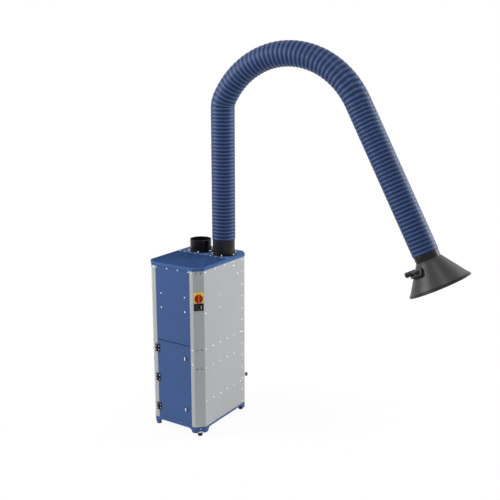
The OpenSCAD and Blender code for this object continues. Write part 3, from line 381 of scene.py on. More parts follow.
@dataclass(frozen=True)
class PowderCoat(Finish):
    """Baked paint with a fine orange peel."""

    peel: float = 0.00006
    peel_waves: float = 650.0
    speck_waves: float = 420.0
    blotch_waves: float = 9.0
    drift_waves: float = 1.7

    def build(self) -> bpy.types.Material:
        """Makes the material.

        Returns:
            The material.
        """
        bench = SurfaceBench(self.name)
        drift = bench.noise(self.drift_waves, 3.0)
        speck = bench.noise(self.speck_waves, 2.0, 0.6)
        rough = self.roughness + (bench.noise(self.blotch_waves, 4.0) - 0.5) * 0.10 + (speck - 0.5) * 0.06
        colour = bench.mix(drift * 0.7 + speck * 0.3, shade(self.colour, 0.93), shade(self.colour, 1.07))
        return bench.finish(Base_Color=colour, Roughness=rough, Specular_IOR_Level=self.gloss,
                            Normal=bench.bump(bench.noise(self.peel_waves), self.peel, 0.6))


@dataclass(frozen=True)
class MouldedPlastic(Finish):
    """Moulded plastic or paint-black sheet with a fine grain and faint handling marks."""

    grain: float = 0.00006
    grain_waves: float = 900.0
    mark_waves: float = 14.0

    def build(self) -> bpy.types.Material:
        """Makes the material.

        Returns:
            The material.
        """
        bench = SurfaceBench(self.name)
        marks = bench.noise(self.mark_waves, 5.0, 0.65)
        rough = self.roughness + (marks - 0.5) * 0.16
        colour = bench.mix(marks, shade(self.colour, 0.9), shade(self.colour, 1.12))
        return bench.finish(Base_Color=colour, Roughness=rough, Specular_IOR_Level=self.gloss,
                            Normal=bench.bump(bench.noise(self.grain_waves), self.grain, 0.5))


@dataclass(frozen=True)
class BareMetal(Finish):
    """Plated or plain metal, with a spangle and fine drawing lines along one axis."""

    spangle: float = 0.08
    cell_waves: float = 140.0
    line_waves: Triple = (900.0, 900.0, 25.0)
    line_depth: float = 0.00003

    def build(self) -> bpy.types.Material:
        """Makes the material.

        Returns:
            The material.
        """
        bench = SurfaceBench(self.name)
        cell = bench.cells(self.cell_waves)
        drawn = bench.noise(1.0, 3.0, 0.6, bench.stretched(self.line_waves))
        rough = self.roughness + (drawn - 0.5) * 0.12 + (cell - 0.5) * self.spangle
        colour = bench.mix(cell * 0.6 + bench.noise(6.0, 3.0) * 0.4, shade(self.colour, 0.86), self.colour)
        return bench.finish(Base_Color=colour, Roughness=rough, Metallic=1.0,
                            Normal=bench.bump(drawn, self.line_depth, 0.5))


@dataclass(frozen=True)
class Rubber(Finish):
    """Matt rubber with dust in its pores."""

    dust_waves: float = 35.0
    pore_waves: float = 700.0
    pore_depth: float = 0.0001

    def build(self) -> bpy.types.Material:
        """Makes the material.

        Returns:
            The material.
        """
        bench = SurfaceBench(self.name)
        dust = bench.noise(self.dust_waves, 6.0, 0.7)
        colour = bench.mix(dust.step(0.45, 0.8), self.colour, shade(self.colour, 1.9))
        return bench.finish(Base_Color=colour, Roughness=self.roughness + (dust - 0.5) * 0.1,
                            Normal=bench.bump(bench.noise(self.pore_waves, 3.0), self.pore_depth, 0.6))


@dataclass(frozen=True)
class HoseFabric(Finish):
    """Coated fabric with a fine weave: ribs painted lighter as rubbed wear and painted highlight, folds dark
    as painted shade.
    """

    rib_wear_and_highlight_colour: Colour = (0.0, 0.0, 0.0, 1.0)
    rub_waves: float = 30.0
    wear_and_highlight_from: float = 0.26
    weave_waves: float = 700.0
    weave_depth: float = 0.00002

    def build(self) -> bpy.types.Material:
        """Makes the material.

        Returns:
            The material.
        """
        bench = SurfaceBench(self.name)
        crest = bench.attribute("rib_crest")
        rub = bench.noise(self.rub_waves, 4.0, 0.6)
        # Painted highlight and wear: the crests turn lighter, and the folds keep the dark colour as painted
        # shade.
        share = (crest.step(self.wear_and_highlight_from, 1.0) * (0.7 + 0.3 * rub) + crest * 0.08).clamp()
        colour = bench.mix(share, self.colour, self.rib_wear_and_highlight_colour)
        rough = self.roughness - crest * 0.06 + (rub - 0.5) * 0.08
        return bench.finish(Base_Color=colour, Roughness=rough, Specular_IOR_Level=self.gloss,
                            Normal=bench.bump(bench.noise(self.weave_waves), self.weave_depth, 0.4))


@dataclass(frozen=True)
class FilterPaper(Finish):
    """Pleated filter paper, with fibres and a little caught dust."""

    fibre_waves: Triple = (500.0, 500.0, 120.0)
    fibre_depth: float = 0.0003
    dust_waves: float = 12.0

    def build(self) -> bpy.types.Material:
        """Makes the material.

        Returns:
            The material.
        """
        bench = SurfaceBench(self.name)
        fibre = bench.noise(1.0, 4.0, 0.7, bench.stretched(self.fibre_waves))
        dust = bench.noise(self.dust_waves, 5.0, 0.6)
        colour = bench.mix(dust.step(0.4, 0.75) * 0.6, self.colour, shade(self.colour, 0.7))
        return bench.finish(Base_Color=colour, Roughness=self.roughness,
                            Normal=bench.bump(fibre, self.fibre_depth, 0.6))


@dataclass(frozen=True)
class DarkWindow(Finish):
    """Smoked window with faint smears on its gloss."""

    smear_waves: float = 55.0

    def build(self) -> bpy.types.Material:
        """Makes the material.

        Returns:
            The material.
        """
        bench = SurfaceBench(self.name)
        smear = bench.noise(self.smear_waves, 4.0, 0.6)
        colour = bench.mix(smear, shade(self.colour, 0.9), shade(self.colour, 1.15))
        return bench.finish(Base_Color=colour, Roughness=self.roughness + smear * 0.08,
                            Specular_IOR_Level=self.gloss)


BLUE_PAINT = PowderCoat("blue_powder_coat", "blue_paint", tint(58, 85, 135), 0.40, 0.2)
LID_PAINT = PowderCoat("blue_lid_coat", "blue_paint", tint(66, 96, 148), 0.60, 0.06)
GRILLE_PAINT = PowderCoat("blue_grille_coat", "blue_paint", tint(48, 80, 132), 0.62, 0.05)
GREY_PAINT = PowderCoat("grey_powder_coat", "grey_paint", tint(170, 172, 174), 0.45)
BLACK_PLASTIC = MouldedPlastic("black_moulding", "black_plastic", tint(24, 24, 26), 0.34, 0.2, 0.00002)
BLACK_METAL = MouldedPlastic("black_enamel", "black_metal", tint(22, 22, 24), 0.24, 0.16)
FOOT_RUBBER = Rubber("soft_rubber", "foot_rubber", tint(24, 24, 25), 0.7)
ZINC = BareMetal("zinc_plate", "zinc", tint(232, 234, 238), 0.30)
RIVET_METAL = BareMetal("bright_rivet", "zinc", tint(250, 251, 252), 0.35, spangle=0.02)
PLAIN_STEEL = BareMetal("mill_steel", "plain_steel", tint(168, 172, 176), 0.38)
CHROME = BareMetal("satin_chrome", "chrome_latch", tint(238, 240, 242), 0.16, spangle=0.02)
# A darker copy of the chrome, as painted shade on the latches' heads.
CHROME_PAINTED_SHADE = BareMetal("shaded_chrome", "chrome_latch", tint(92, 94, 98), 0.3, spangle=0.02)
METER_BEZEL = MouldedPlastic("meter_bezel", "black_plastic", tint(10, 10, 11), 0.45, 0.06)
KNOB_GREY = MouldedPlastic("grey_knob", "black_plastic", tint(84, 86, 88), 0.4)
YELLOW_PLATE = MouldedPlastic("switch_yellow", "yellow_plate", tint(250, 214, 84), 0.4)
# The knob's base in a darker copy of the red, as painted shade; the grip has the knob's own red.
RED_KNOB_PAINTED_SHADE = MouldedPlastic("knob_dark_red", "red_knob", tint(140, 34, 8), 0.34)
RED_GRIP = MouldedPlastic("knob_red", "red_knob", tint(196, 66, 24), 0.34)
WINDOW = DarkWindow("smoked_window", "window", tint(10, 11, 12), 0.12, 0.08)
PALE_INLAY = MouldedPlastic("pale_inlay", "window", tint(206, 198, 140), 0.4)
GREY_INLAY = MouldedPlastic("grey_inlay", "window", tint(120, 122, 126), 0.4)
BRASS = BareMetal("turned_brass", "brass_fitting", tint(206, 182, 110), 0.3, spangle=0.04)
PAPER = FilterPaper("pleated_paper", "filter_paper", tint(226, 222, 210), 0.85)
ALUMINIUM = BareMetal("cast_aluminium", "aluminium_wheel", tint(196, 198, 202), 0.34)
# Hose fabric: the dark fold colour is painted shade, the light rib colour painted highlight and rubbed wear.
FABRIC = HoseFabric("ribbed_fabric", "hose_fabric", tint(13, 32, 70), 0.50, 0.22, tint(66, 92, 140))
HOOD_PAINT = PowderCoat("hood_powder_coat", "hood_metal", tint(47, 47, 48), 0.40, 0.3, 0.000002)


# ---- Making meshes


def new_object(name: str, data: bpy.types.ID) -> bpy.types.Object:
    """Puts a mesh, a lamp or a camera into the scene as an object at the origin.

    Args:
        name: The object's name.
        data: The mesh, lamp or camera.

    Returns:
        The object.
    """
    made = bpy.data.objects.new(name, data)
    bpy.context.scene.collection.objects.link(made)
    return made


def evaluated_copy(source: bpy.types.Object) -> bpy.types.Mesh:
    """The plain mesh that an object's modifiers make.

    Args:
        source: The object.

    Returns:
        A new mesh.
    """
    graph = bpy.context.evaluated_depsgraph_get()
    return bpy.data.meshes.new_from_object(source.evaluated_get(graph), preserve_all_data_layers=True,
                                           depsgraph=graph)


def make_plain(piece: bpy.types.Object) -> bpy.types.Object:
    """Turns a piece's modifiers into its own mesh.

    Args:
        piece: The piece, changed in place.

    Returns:
        The piece.
    """
    mesh = evaluated_copy(piece)
    piece.modifiers.clear()
    old = piece.data
    piece.data = mesh
    bpy.data.meshes.remove(old)
    return piece


@contextmanager
def opened(mesh: bpy.types.Mesh) -> Iterator[bmesh.types.BMesh]:
    """Opens a mesh for editing, then writes it back.

    Args:
        mesh: The mesh, changed in place.

    Yields:
        Its editable form.
    """
    work = bmesh.new()
    work.from_mesh(mesh)
    yield work
    work.to_mesh(mesh)
    work.free()


def written(name: str, work: bmesh.types.BMesh) -> bpy.types.Mesh:
    """Writes an editable form into a new mesh.

    Args:
        name: The mesh's name.
        work: The editable form, which is freed.

    Returns:
        The mesh.
    """
    mesh = bpy.data.meshes.new(name)
    work.to_mesh(mesh)
    work.free()
    return mesh


def smooth_by_angle(mesh: bpy.types.Mesh, limit: float = SHARP_TURN) -> None:
    """Shades a mesh smooth, but for edges that turn more than a limit.

    Args:
        mesh: The mesh, changed in place.
        limit: Largest turn of a smooth edge, in radians.
    """
    mesh.shade_smooth()
    with opened(mesh) as work:
        for edge in work.edges:
            edge.smooth = not (len(edge.link_faces) == 2 and edge.calc_face_angle(0.0) > limit)


def bridge(work: bmesh.types.BMesh, rings: Sequence[Ring], closed: bool = True) -> None:
    """Joins rings of points with faces, each ring to the next one.

    Args:
        work: The editable form that holds the points.
        rings: The rings, with as many points each. A ring of one point is a pole.
        closed: Whether the last ring joins the first one.
    """
    sides = max(len(ring) for ring in rings)
    for low, high in zip(rings, [*rings[1:], rings[0]] if closed else rings[1:]):
        if len(low) == len(high) == 1:
            continue
        for i in range(sides):
            j = (i + 1) % sides
            corners = (low[i % len(low)], low[j % len(low)], high[j % len(high)], high[i % len(high)])
            work.faces.new(list(dict.fromkeys(corners)))


def turned(name: str, section: Section, sides: int) -> bpy.types.Mesh:
    """Turns a closed section of radii and heights round the local Z axis.

    Args:
        name: The mesh's name.
        section: Radius and height of each corner, in order. A radius of 0 is a pole.
        sides: Sides round the turn.

    Returns:
        The mesh, with its faces outwards.
    """
    work = bmesh.new()
    turns = [math.tau * i / sides for i in range(sides)]
    rings = [[work.verts.new((radius * math.cos(a), radius * math.sin(a), height))
              for a in (turns if radius else turns[:1])] for radius, height in section]
    bridge(work, rings)
    bmesh.ops.recalc_face_normals(work, faces=work.faces)
    return written(name, work)


def rod(name: str, radius: float, low: float, top: float, sides: int) -> bpy.types.Mesh:
    """A plain rod on the local Z axis, from one height to another."""
    return turned(name, [(radius, low), (radius, top), (0.0, top), (0.0, low)], sides)


def scaled(section: Section, radius: float, height: float = 1.0) -> list[tuple[float, float]]:
    """A section whose numbers are shares, at its full radius and height."""
    return [(radius * out, height * up) for out, up in section]


@dataclass(frozen=True)
class Block:
    """A block with rounded edges.

    Args:
        size: Its size.
        centre: Its centre.
        edge: Width of the rounding.
        steps: Steps of the rounding.
    """

    size: Triple
    centre: Triple
    edge: float
    steps: int = 1

    def mesh(self, name: str) -> bpy.types.Mesh:
        """Makes the block's mesh.

        Args:
            name: The mesh's name.

        Returns:
            The mesh.
        """
        work = bmesh.new()
        form = Matrix.Translation(self.centre) @ Matrix.Diagonal((*self.size, 1.0))
        bmesh.ops.create_cube(work, size=1.0, matrix=form)
        bmesh.ops.bevel(work, geom=work.edges[:] + work.verts[:], offset=self.edge, segments=self.steps,
                        profile=0.5, affect="EDGES", clamp_overlap=True)
        return written(name, work)


def joined(name: str, meshes: Iterable[bpy.types.Mesh]) -> bpy.types.Mesh:
    """Puts several meshes into one and drops the parts.

    Args:
        name: The new mesh's name.
        meshes: The parts, which keep their places.

    Returns:
        The joined mesh.
    """
    work = bmesh.new()
    for part in meshes:
        work.from_mesh(part)
        bpy.data.meshes.remove(part)
    return written(name, work)


def local_frame(origin: Vector, *axes: Vector) -> Matrix:
    """A frame with an origin and three axes."""
    return Matrix.Translation(origin) @ Matrix(axes).transposed().to_4x4()


def put(name: str, mesh: bpy.types.Mesh, at: Matrix, limit: float = 0.0) -> bpy.types.Object:
    """Makes a piece of a mesh that was built in a local frame.

    Args:
        name: The piece's name.
        mesh: The mesh.
        at: The frame.
        limit: Largest turn of a smooth edge. Flat faces stay flat at 0.

    Returns:
        The piece, with its place in its mesh.
    """
    mesh.transform(at)
    if limit:
        smooth_by_angle(mesh, limit)
    return new_object(name, mesh)


def spaced(first: float, last: float, count: int) -> list[float]:
    """Evenly spaced values, with both ends."""
    return [first + (last - first) * i / (count - 1) for i in range(count)]


@dataclass(frozen=True)
class Seat:
    """Where a fastener sits: its place and the way that it faces."""

    place: Vector
    facing: Vector


class GeometryBench(NodeBench):
    """A Geometry Nodes tree with named inputs."""

    def __init__(self, name: str) -> None:
        """Makes an empty tree that takes and gives geometry.

        Args:
            name: The tree's name.
        """
        tree = bpy.data.node_groups.new(name, "GeometryNodeTree")
        super().__init__(tree)
        tree.interface.new_socket(name="Geometry", in_out="INPUT", socket_type="NodeSocketGeometry")
        tree.interface.new_socket(name="Geometry", in_out="OUTPUT", socket_type="NodeSocketGeometry")
        self.entry = self.node("NodeGroupInput")
        self.names: dict[str, str] = {}

    def size(self, name: str, kind: str = "NodeSocketFloat") -> Any:
        """Adds a named input.

        Args:
            name: The input's name.
            kind: Its socket type.

        Returns:
            A wire where it is a number, or else its socket.
        """
        made = self.tree.interface.new_socket(name=name, in_out="INPUT", socket_type=kind)
        self.names[name] = made.identifier
        socket = next(s for s in self.entry.outputs if s.identifier == made.identifier)
        return Wire(self, socket) if kind in ("NodeSocketFloat", "NodeSocketInt") else socket

    def close(self, geometry: bpy.types.NodeSocket, material: bpy.types.NodeSocket) -> None:
        """Ends the tree: instances made real, then the material.

        Args:
            geometry: What the tree has made.
            material: Its material.
        """
        real = self.node("GeometryNodeRealizeInstances", inputs={"Geometry": geometry})
        dressed = self.node("GeometryNodeSetMaterial", inputs={
            "Geometry": real.outputs[0], "Material": material})
        self.node("NodeGroupOutput", inputs={"Geometry": dressed.outputs[0]})

    def run(self, piece: bpy.types.Object, values: Mapping[str, Any]) -> bpy.types.Object:
        """Runs the tree on a piece and keeps the result as its plain mesh.

        Args:
            piece: The piece whose mesh goes in.
            values: Values of the named inputs.

        Returns:
            The piece.
        """
        made = piece.modifiers.new("tree", "NODES")
        made.node_group = self.tree
        for name, value in values.items():
            made[self.names[name]] = value
        piece.update_tag()
        bpy.context.view_layer.update()
        return make_plain(piece)


class FastenerTree:
    """Sets one small shape on every seat, facing out, with a turn of its own."""

    def __init__(self) -> None:
        """Builds the tree."""
        bench = GeometryBench("fasteners")
        shape = bench.size("Shape", "NodeSocketObject")
        twist = bench.size("Twist")
        seed = bench.size("Seed", "NodeSocketInt")
        material = bench.size("Material", "NodeSocketMaterial")
        facing = bench.node("GeometryNodeInputNamedAttribute", {"data_type": "FLOAT_VECTOR"},
                            {"Name": "facing"})
        aim = bench.node("FunctionNodeAlignRotationToVector", {"axis": "Z"}, {"Vector": facing.outputs[0]})
        chance = bench.node("FunctionNodeRandomValue", {"data_type": "FLOAT"}, {"Seed": seed})
        angle = Wire(bench, next(s for s in chance.outputs if s.enabled)) * twist
        spin = bench.node("FunctionNodeAxisAngleToRotation", inputs={"Axis": (0.0, 0.0, 1.0), "Angle": angle})
        turn = bench.node("FunctionNodeRotateRotation", {"rotation_space": "LOCAL"},
                          {"Rotation": aim.outputs[0], "Rotate By": spin.outputs[0]})
        form = bench.node("GeometryNodeObjectInfo", inputs={"Object": shape})
        set_out = bench.node("GeometryNodeInstanceOnPoints", inputs={
            "Points": bench.entry.outputs["Geometry"], "Instance": form.outputs["Geometry"],
            "Rotation": turn.outputs[0]})
        bench.close(set_out.outputs[0], material)
        self.bench = bench

    def place(self, name: str, shape: bpy.types.Mesh, seats: Iterable[Seat], finish: Finish, body: str,
              *nodes: str, twist: float = math.tau, seed: int = 7) -> None:
        """Makes one piece of many fasteners.

        Args:
            name: The piece's name.
            shape: The fastener, standing on its seat with Z out.
            seats: The seats.
            finish: The fasteners' finish.
            body: The body that they ride on.
            nodes: The nodes that they replace.
            twist: Largest turn of a fastener round its own axis.
            seed: Seed of the turns.
        """
        taken = list(seats)
        points = bpy.data.meshes.new(name)
        points.from_pydata([tuple(seat.place) for seat in taken], [], [])
        facing = points.attributes.new("facing", "FLOAT_VECTOR", "POINT")
        for item, seat in zip(facing.data, taken):
            item.vector = seat.facing
        smooth_by_angle(shape)
        pattern = new_object(name + "_shape", shape)
        piece = self.bench.run(new_object(name, points), {
            "Shape": pattern, "Twist": twist, "Seed": seed, "Material": finish.material()})
        bpy.data.objects.remove(pattern)
        dress_mesh(piece, finish, body, *nodes)


class HoseTree:
    """Sweeps a ribbed skin along a line: a wire under each crest, and fabric that sinks in between."""

    sag = 2.2
    wrinkles = 26.0

    def __init__(self) -> None:
        """Builds the tree."""
        bench = GeometryBench("ribbed_hose")
        rings = bench.size("Rings a rib", "NodeSocketInt")
        crest_r = bench.size("Crest radius")
        fold = bench.size("Fold")
        wire = bench.size("Wire share")
        sides = bench.size("Sides", "NodeSocketInt")
        slack = bench.size("Slack")
        seed = bench.size("Seed", "NodeSocketInt")
        material = bench.size("Material", "NodeSocketMaterial")
        line = bench.node("GeometryNodeMeshToCurve", inputs={"Mesh": bench.entry.outputs["Geometry"]})
        along = Wire(bench, bench.node("GeometryNodeSplineParameter").outputs["Index"]) / rings
        off_crest = abs(along.math("FRACT") - 0.5) * 2.0
        sunk = 1.0 - (1.0 - ((off_crest - wire) / (1.0 - wire)).clamp()) ** self.sag
        radius = crest_r - fold * sunk
        marked = bench.node("GeometryNodeStoreNamedAttribute", {"data_type": "FLOAT", "domain": "POINT"}, {
            "Geometry": line.outputs[0], "Name": "rib_crest", "Value": 1.0 - off_crest})
        ring = bench.node("GeometryNodeCurvePrimitiveCircle", {"mode": "RADIUS"},
                          {"Resolution": sides, "Radius": 1.0})
        skin = bench.node("GeometryNodeCurveToMesh", inputs={
            "Curve": marked.outputs[0], "Profile Curve": ring.outputs[0], "Scale": radius})
        wave = bench.node("ShaderNodeTexNoise", {"noise_dimensions": "4D"},
                          {"W": seed, "Scale": self.wrinkles, "Detail": 2.0})
        sink = bench.node("GeometryNodeInputNamedAttribute", {"data_type": "FLOAT"}, {"Name": "rib_crest"})
        depth = (Wire(bench, wave.outputs[0]) - 0.5) * slack * (1.0 - Wire(bench, sink.outputs[0]))
        normal = bench.node("GeometryNodeInputNormal")
        shift = bench.node("ShaderNodeVectorMath", {"operation": "SCALE"},
                           {"Vector": normal.outputs[0], "Scale": depth})
        moved = bench.node("GeometryNodeSetPosition",
                           inputs={"Geometry": skin.outputs[0], "Offset": shift.outputs[0]})
        soft = bench.node("GeometryNodeSetShadeSmooth", inputs={"Geometry": moved.outputs[0]})
        bench.close(soft.outputs[0], material)
        self.bench = bench

    def skin(self, name: str, line: Sequence[Vector], values: Mapping[str, Any],
             wall: float) -> bpy.types.Object:
        """Makes one stretch of hose with its wall.

        Args:
            name: The piece's name.
            line: Points along the stretch's centre.
            values: Values of the tree's inputs.
            wall: Thickness of the wall.

        Returns:
            The piece.
        """
        mesh = bpy.data.meshes.new(name)
        mesh.from_pydata([tuple(p) for p in line], [(i, i + 1) for i in range(len(line) - 1)], [])
        piece = self.bench.run(new_object(name, mesh), values)
        self._face_outwards(piece.data, line)
        made = piece.modifiers.new("wall", "SOLIDIFY")
        made.thickness, made.offset = wall, -1.0
        return make_plain(piece)

    @staticmethod
    def _face_outwards(mesh: bpy.types.Mesh, line: Sequence[Vector]) -> None:
        """Turns the skin's faces away from the line, if they face it.

        Args:
            mesh: The skin, changed in place.
            line: Points along its centre.
        """
        middle = line[len(line) // 2]
        near = min(mesh.polygons, key=lambda face: (face.center - middle).length)
        if near.normal.dot(near.center - middle) < 0:
            mesh.flip_normals()


class PerforationTree:
    """Lays the cells of a perforated sheet in staggered rows."""

    weld = 0.0001

    def __init__(self) -> None:
        """Builds the tree."""
        bench = GeometryBench("perforated_sheet")
        columns = bench.size("Columns", "NodeSocketInt")
        rows = bench.size("Rows", "NodeSocketInt")
        pitch = bench.size("Pitch")
        row_pitch = bench.size("Row pitch")
        middle_y = bench.size("Middle")
        height = bench.size("Height")
        cell = bench.size("Cell", "NodeSocketObject")
        material = bench.size("Material", "NodeSocketMaterial")
        grid = bench.node("GeometryNodeMeshGrid", inputs={
            "Size X": pitch * (columns - 1.0), "Size Y": row_pitch * (rows - 1.0),
            "Vertices X": columns, "Vertices Y": rows})
        split = bench.node("ShaderNodeSeparateXYZ",
                           inputs={"Vector": bench.node("GeometryNodeInputPosition").outputs[0]})
        row = (Wire(bench, split.outputs[1]) / row_pitch + (rows - 1.0) * 0.5).math("ROUND")
        odd = (row * 0.5).math("FRACT") * 2.0
        shift = bench.node("ShaderNodeCombineXYZ", inputs={
            "X": odd * pitch * 0.5 - pitch * 0.25, "Y": middle_y, "Z": height})
        set_out = bench.node("GeometryNodeSetPosition",
                             inputs={"Geometry": grid.outputs[0], "Offset": shift.outputs[0]})
        points = bench.node("GeometryNodeMeshToPoints", inputs={"Mesh": set_out.outputs[0]})
        form = bench.node("GeometryNodeObjectInfo", inputs={"Object": cell})
        cells = bench.node("GeometryNodeInstanceOnPoints", inputs={
            "Points": points.outputs[0], "Instance": form.outputs["Geometry"]})
        real = bench.node("GeometryNodeRealizeInstances", inputs={"Geometry": cells.outputs[0]})
        whole = bench.node("GeometryNodeMergeByDistance",
                           inputs={"Geometry": real.outputs[0], "Distance": self.weld})
        bench.close(whole.outputs[0], material)
        self.bench = bench


# ---- Dressing


@dataclass
class SubAssembly(ABC):
    """A part of the object, which dresses its own CAD nodes or stands pieces in for them."""

    weld: ClassVar[float] = 2e-6
    flat: ClassVar[float] = math.radians(0.4)

    @abstractmethod
    def build(self) -> None:
        """Builds and dresses the pieces."""

    def paint(self, finish: Finish, *nodes: str) -> None:
        """Gives CAD nodes their finish.

        Args:
            finish: The finish.
            nodes: The nodes.
        """
        for node in nodes:
            mesh = frame["nodes"][node].data
            mesh.materials.clear()
            mesh.materials.append(finish.material())
            log.info("painted %s with %s", node, finish.name)

    def soften(self, finish: Finish, width: float, *nodes: str, segments: int = 2) -> None:
        """Stands copies with rounded edges in for CAD nodes.

        Args:
            finish: The copies' finish.
            width: Width of the rounding.
            nodes: The nodes.
            segments: Steps of the rounding.
        """
        for node in nodes:
            source = frame["nodes"][node]
            mesh = source.data.copy()
            mesh.name = node + "_shaped"
            with opened(mesh) as work:
                bmesh.ops.remove_doubles(work, verts=work.verts, dist=self.weld)
                bmesh.ops.dissolve_limit(work, angle_limit=self.flat, verts=work.verts, edges=work.edges)
            mesh.materials.clear()
            piece = new_object(mesh.name, mesh)
            smooth_by_angle(mesh)
            rounding = piece.modifiers.new("rounding", "BEVEL")
            rounding.width, rounding.segments = width, segments
            rounding.limit_method, rounding.angle_limit = "ANGLE", SHARP_TURN
            rounding.harden_normals = True
            dress_mesh(make_plain(piece), finish, source["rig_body"], node)


def dress_mesh(piece: bpy.types.Object, finish: Finish, body: str, *nodes: str) -> None:
    """Gives a piece its finish, its body and the nodes that it stands for.

    Args:
        piece: The piece.
        finish: Its finish.
        body: The body that it rides on.
        nodes: The nodes that it replaces.
    """
    if not piece.data.materials:
        piece.data.materials.append(finish.material())
    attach(piece, body)
    if nodes:
        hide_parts(*nodes)
    log.info("built %s", piece.name)


# ---- Sub-assemblies


@dataclass
class Cabinet(SubAssembly):
    """The cabinet's shell: sizes that its trim and fasteners share."""

    width: float = 0.472
    depth: float = 0.626
    corner: float = 0.055
    bottom: float = 0.075
    height: float = 1.173
    lid_height: float = 0.022
    strip_x: float = 0.151
    strip_w: float = 0.030
    panel_x: float = 0.149
    plate_y: float = 0.050
    lid_border: float = 0.012
    sheet_edge: float = 0.0016
    rear_edge: float = 0.0012
    lid_edge: float = 0.0018
    stud_edge: float = 0.0006

    @property
    def front(self) -> float:
        """Y of the front face."""
        return -self.depth / 2

    @property
    def top(self) -> float:
        """Z of the panels' top."""
        return self.bottom + self.height

    @property
    def lid_top(self) -> float:
        """Z of the lid's top."""
        return self.top + self.lid_height

    @property
    def strip_middle(self) -> float:
        """X of the middle of a strip beside the front or rear panel."""
        return self.strip_x + self.strip_w / 2

    def level(self, share: float) -> float:
        """Z at a share of the panels' height."""
        return self.bottom + share * self.height

    def corner_seat(self, right: bool, rear: bool, height: float, across: float = 0.0,
                    out: float = 0.0) -> Seat:
        """A seat on a corner face.

        Args:
            right: Whether it is on the right.
            rear: Whether it is at the rear.
            height: Height of the seat.
            across: Shift along the face, to the right as seen from outside.
            out: Distance out of the face.

        Returns:
            The seat.
        """
        side, end = (1 if right else -1), (1 if rear else -1)
        facing = Vector((side, end, 0.0)).normalized()
        along = Vector((-facing.y, facing.x, 0.0))
        middle = Vector((side * (self.width - self.corner) / 2, end * (self.depth - self.corner) / 2, height))
        return Seat(middle + along * across + facing * out, facing)

    def build(self) -> None:
        """Dresses the shell's sheets, and what the cabinet holds."""
        self.soften(GREY_PAINT, self.sheet_edge, "side_panel_left", "side_panel_right", segments=3)
        self.soften(GREY_PAINT, self.rear_edge, "rear_panel")
        self.soften(BLUE_PAINT, self.sheet_edge, "front_panel", "base_frame")
        self.soften(LID_PAINT, self.lid_edge, "lid", segments=3)
        self.soften(ZINC, self.stud_edge, "foot_studs")
        self.paint(GREY_PAINT, "mid_rail", "control_box")
        self.paint(PLAIN_STEEL, "floor_pan", "tube_sheet")
        self.paint(BLUE_PAINT, "air_tank", "fan_motor")
        self.paint(ZINC, "blow_pipe", "filter_clamp", "air_ducts", "hinge_pins", "dust_bin")
        self.paint(PAPER, "filter_cartridge")
        self.paint(BLACK_METAL, "fan_housing")
        self.paint(BLACK_PLASTIC, "seal_rings", "switch_box", "door_seal")
        self.paint(ALUMINIUM, "fan_impeller")


@dataclass
class PerforatedLid(SubAssembly):
    """The lid's perforated sheet: oblong holes in staggered rows under the lid's frame."""

    cabinet: Cabinet
    pitch: float = 0.0209
    row_pitch: float = 0.0261
    hole_r: float = 0.0060
    hole_length: float = 0.0215
    end_steps: int = 8
    sheet: float = 0.0015
    drop: float = 0.002
    margin: float = 0.004
    overlap: float = 0.006
    touch: float = 1e-6

    def cell(self) -> bpy.types.Mesh:
        """One cell of the sheet with its hole; its outer points meet those of the cells round it.

        Returns:
            The flat cell, with its middle at the origin.
        """
        half, end = self.pitch / 2, self.row_pitch / 2
        straight = self.hole_length / 2 - self.hole_r
        outer = [(half, straight), (half, (straight + end) / 2), (half, end), (half / 2, end), (0.0, end)]
        outer += [(-x, y) for x, y in reversed(outer[:-1])]
        turns = [math.pi * i / self.end_steps for i in range(self.end_steps + 1)]
        inner = [(self.hole_r * math.cos(t), straight + self.hole_r * math.sin(t)) for t in turns]
        work = bmesh.new()
        rings = [[work.verts.new((x, y, 0.0)) for x, y in upper + [(-x, -y) for x, y in upper]]
                 for upper in (inner, outer)]
        bridge(work, rings[::-1], closed=False)
        return written("sheet_cell", work)

    def trim(self, mesh: bpy.types.Mesh, side: float, front: float, rear: float) -> None:
        """Cuts the sheet to its outline, which has two cut corners.

        Args:
            mesh: The sheet, changed in place.
            side: Half its width.
            front: Y of its front edge.
            rear: Y of its rear edge.
        """
        reach = side - front - self.cabinet.corner + self.margin * (2 - math.sqrt(2))
        cuts = (((side, 0.0, 0.0), (1.0, 0.0, 0.0)), ((-side, 0.0, 0.0), (-1.0, 0.0, 0.0)),
                ((0.0, front, 0.0), (0.0, -1.0, 0.0)), ((0.0, rear, 0.0), (0.0, 1.0, 0.0)),
                ((0.0, -reach, 0.0), (1.0, -1.0, 0.0)), ((0.0, -reach, 0.0), (-1.0, -1.0, 0.0)))
        with opened(mesh) as work:
            for place, facing in cuts:
                whole = work.verts[:] + work.edges[:] + work.faces[:]
                bmesh.ops.bisect_plane(work, geom=whole, dist=self.touch, plane_co=place,
                                       plane_no=Vector(facing).normalized(), clear_outer=True)

    def build(self) -> None:
        """Builds the sheet."""
        shell = self.cabinet
        side, front = shell.width / 2 - self.margin, shell.front + self.margin
        rear = shell.plate_y + self.overlap
        pattern = new_object("sheet_cell", self.cell())
        start = bpy.data.meshes.new("lid_perforated_sheet")
        start.from_pydata([(0.0, 0.0, 0.0)], [], [])
        piece = PerforationTree().bench.run(new_object("lid_perforated_sheet", start), {
            "Columns": math.ceil(2 * side / self.pitch + 0.5),
            "Rows": math.ceil((rear - front) / self.row_pitch),
            "Pitch": self.pitch, "Row pitch": self.row_pitch, "Middle": (front + rear) / 2,
            "Height": shell.lid_top - self.drop, "Cell": pattern, "Material": GRILLE_PAINT.material()})
        bpy.data.objects.remove(pattern)
        self.trim(piece.data, side, front, rear)
        made = piece.modifiers.new("sheet", "SOLIDIFY")
        made.thickness, made.offset = self.sheet, -1.0
        make_plain(piece)
        smooth_by_angle(piece.data)
        dress_mesh(piece, GRILLE_PAINT, "cabinet", "lid_grille")


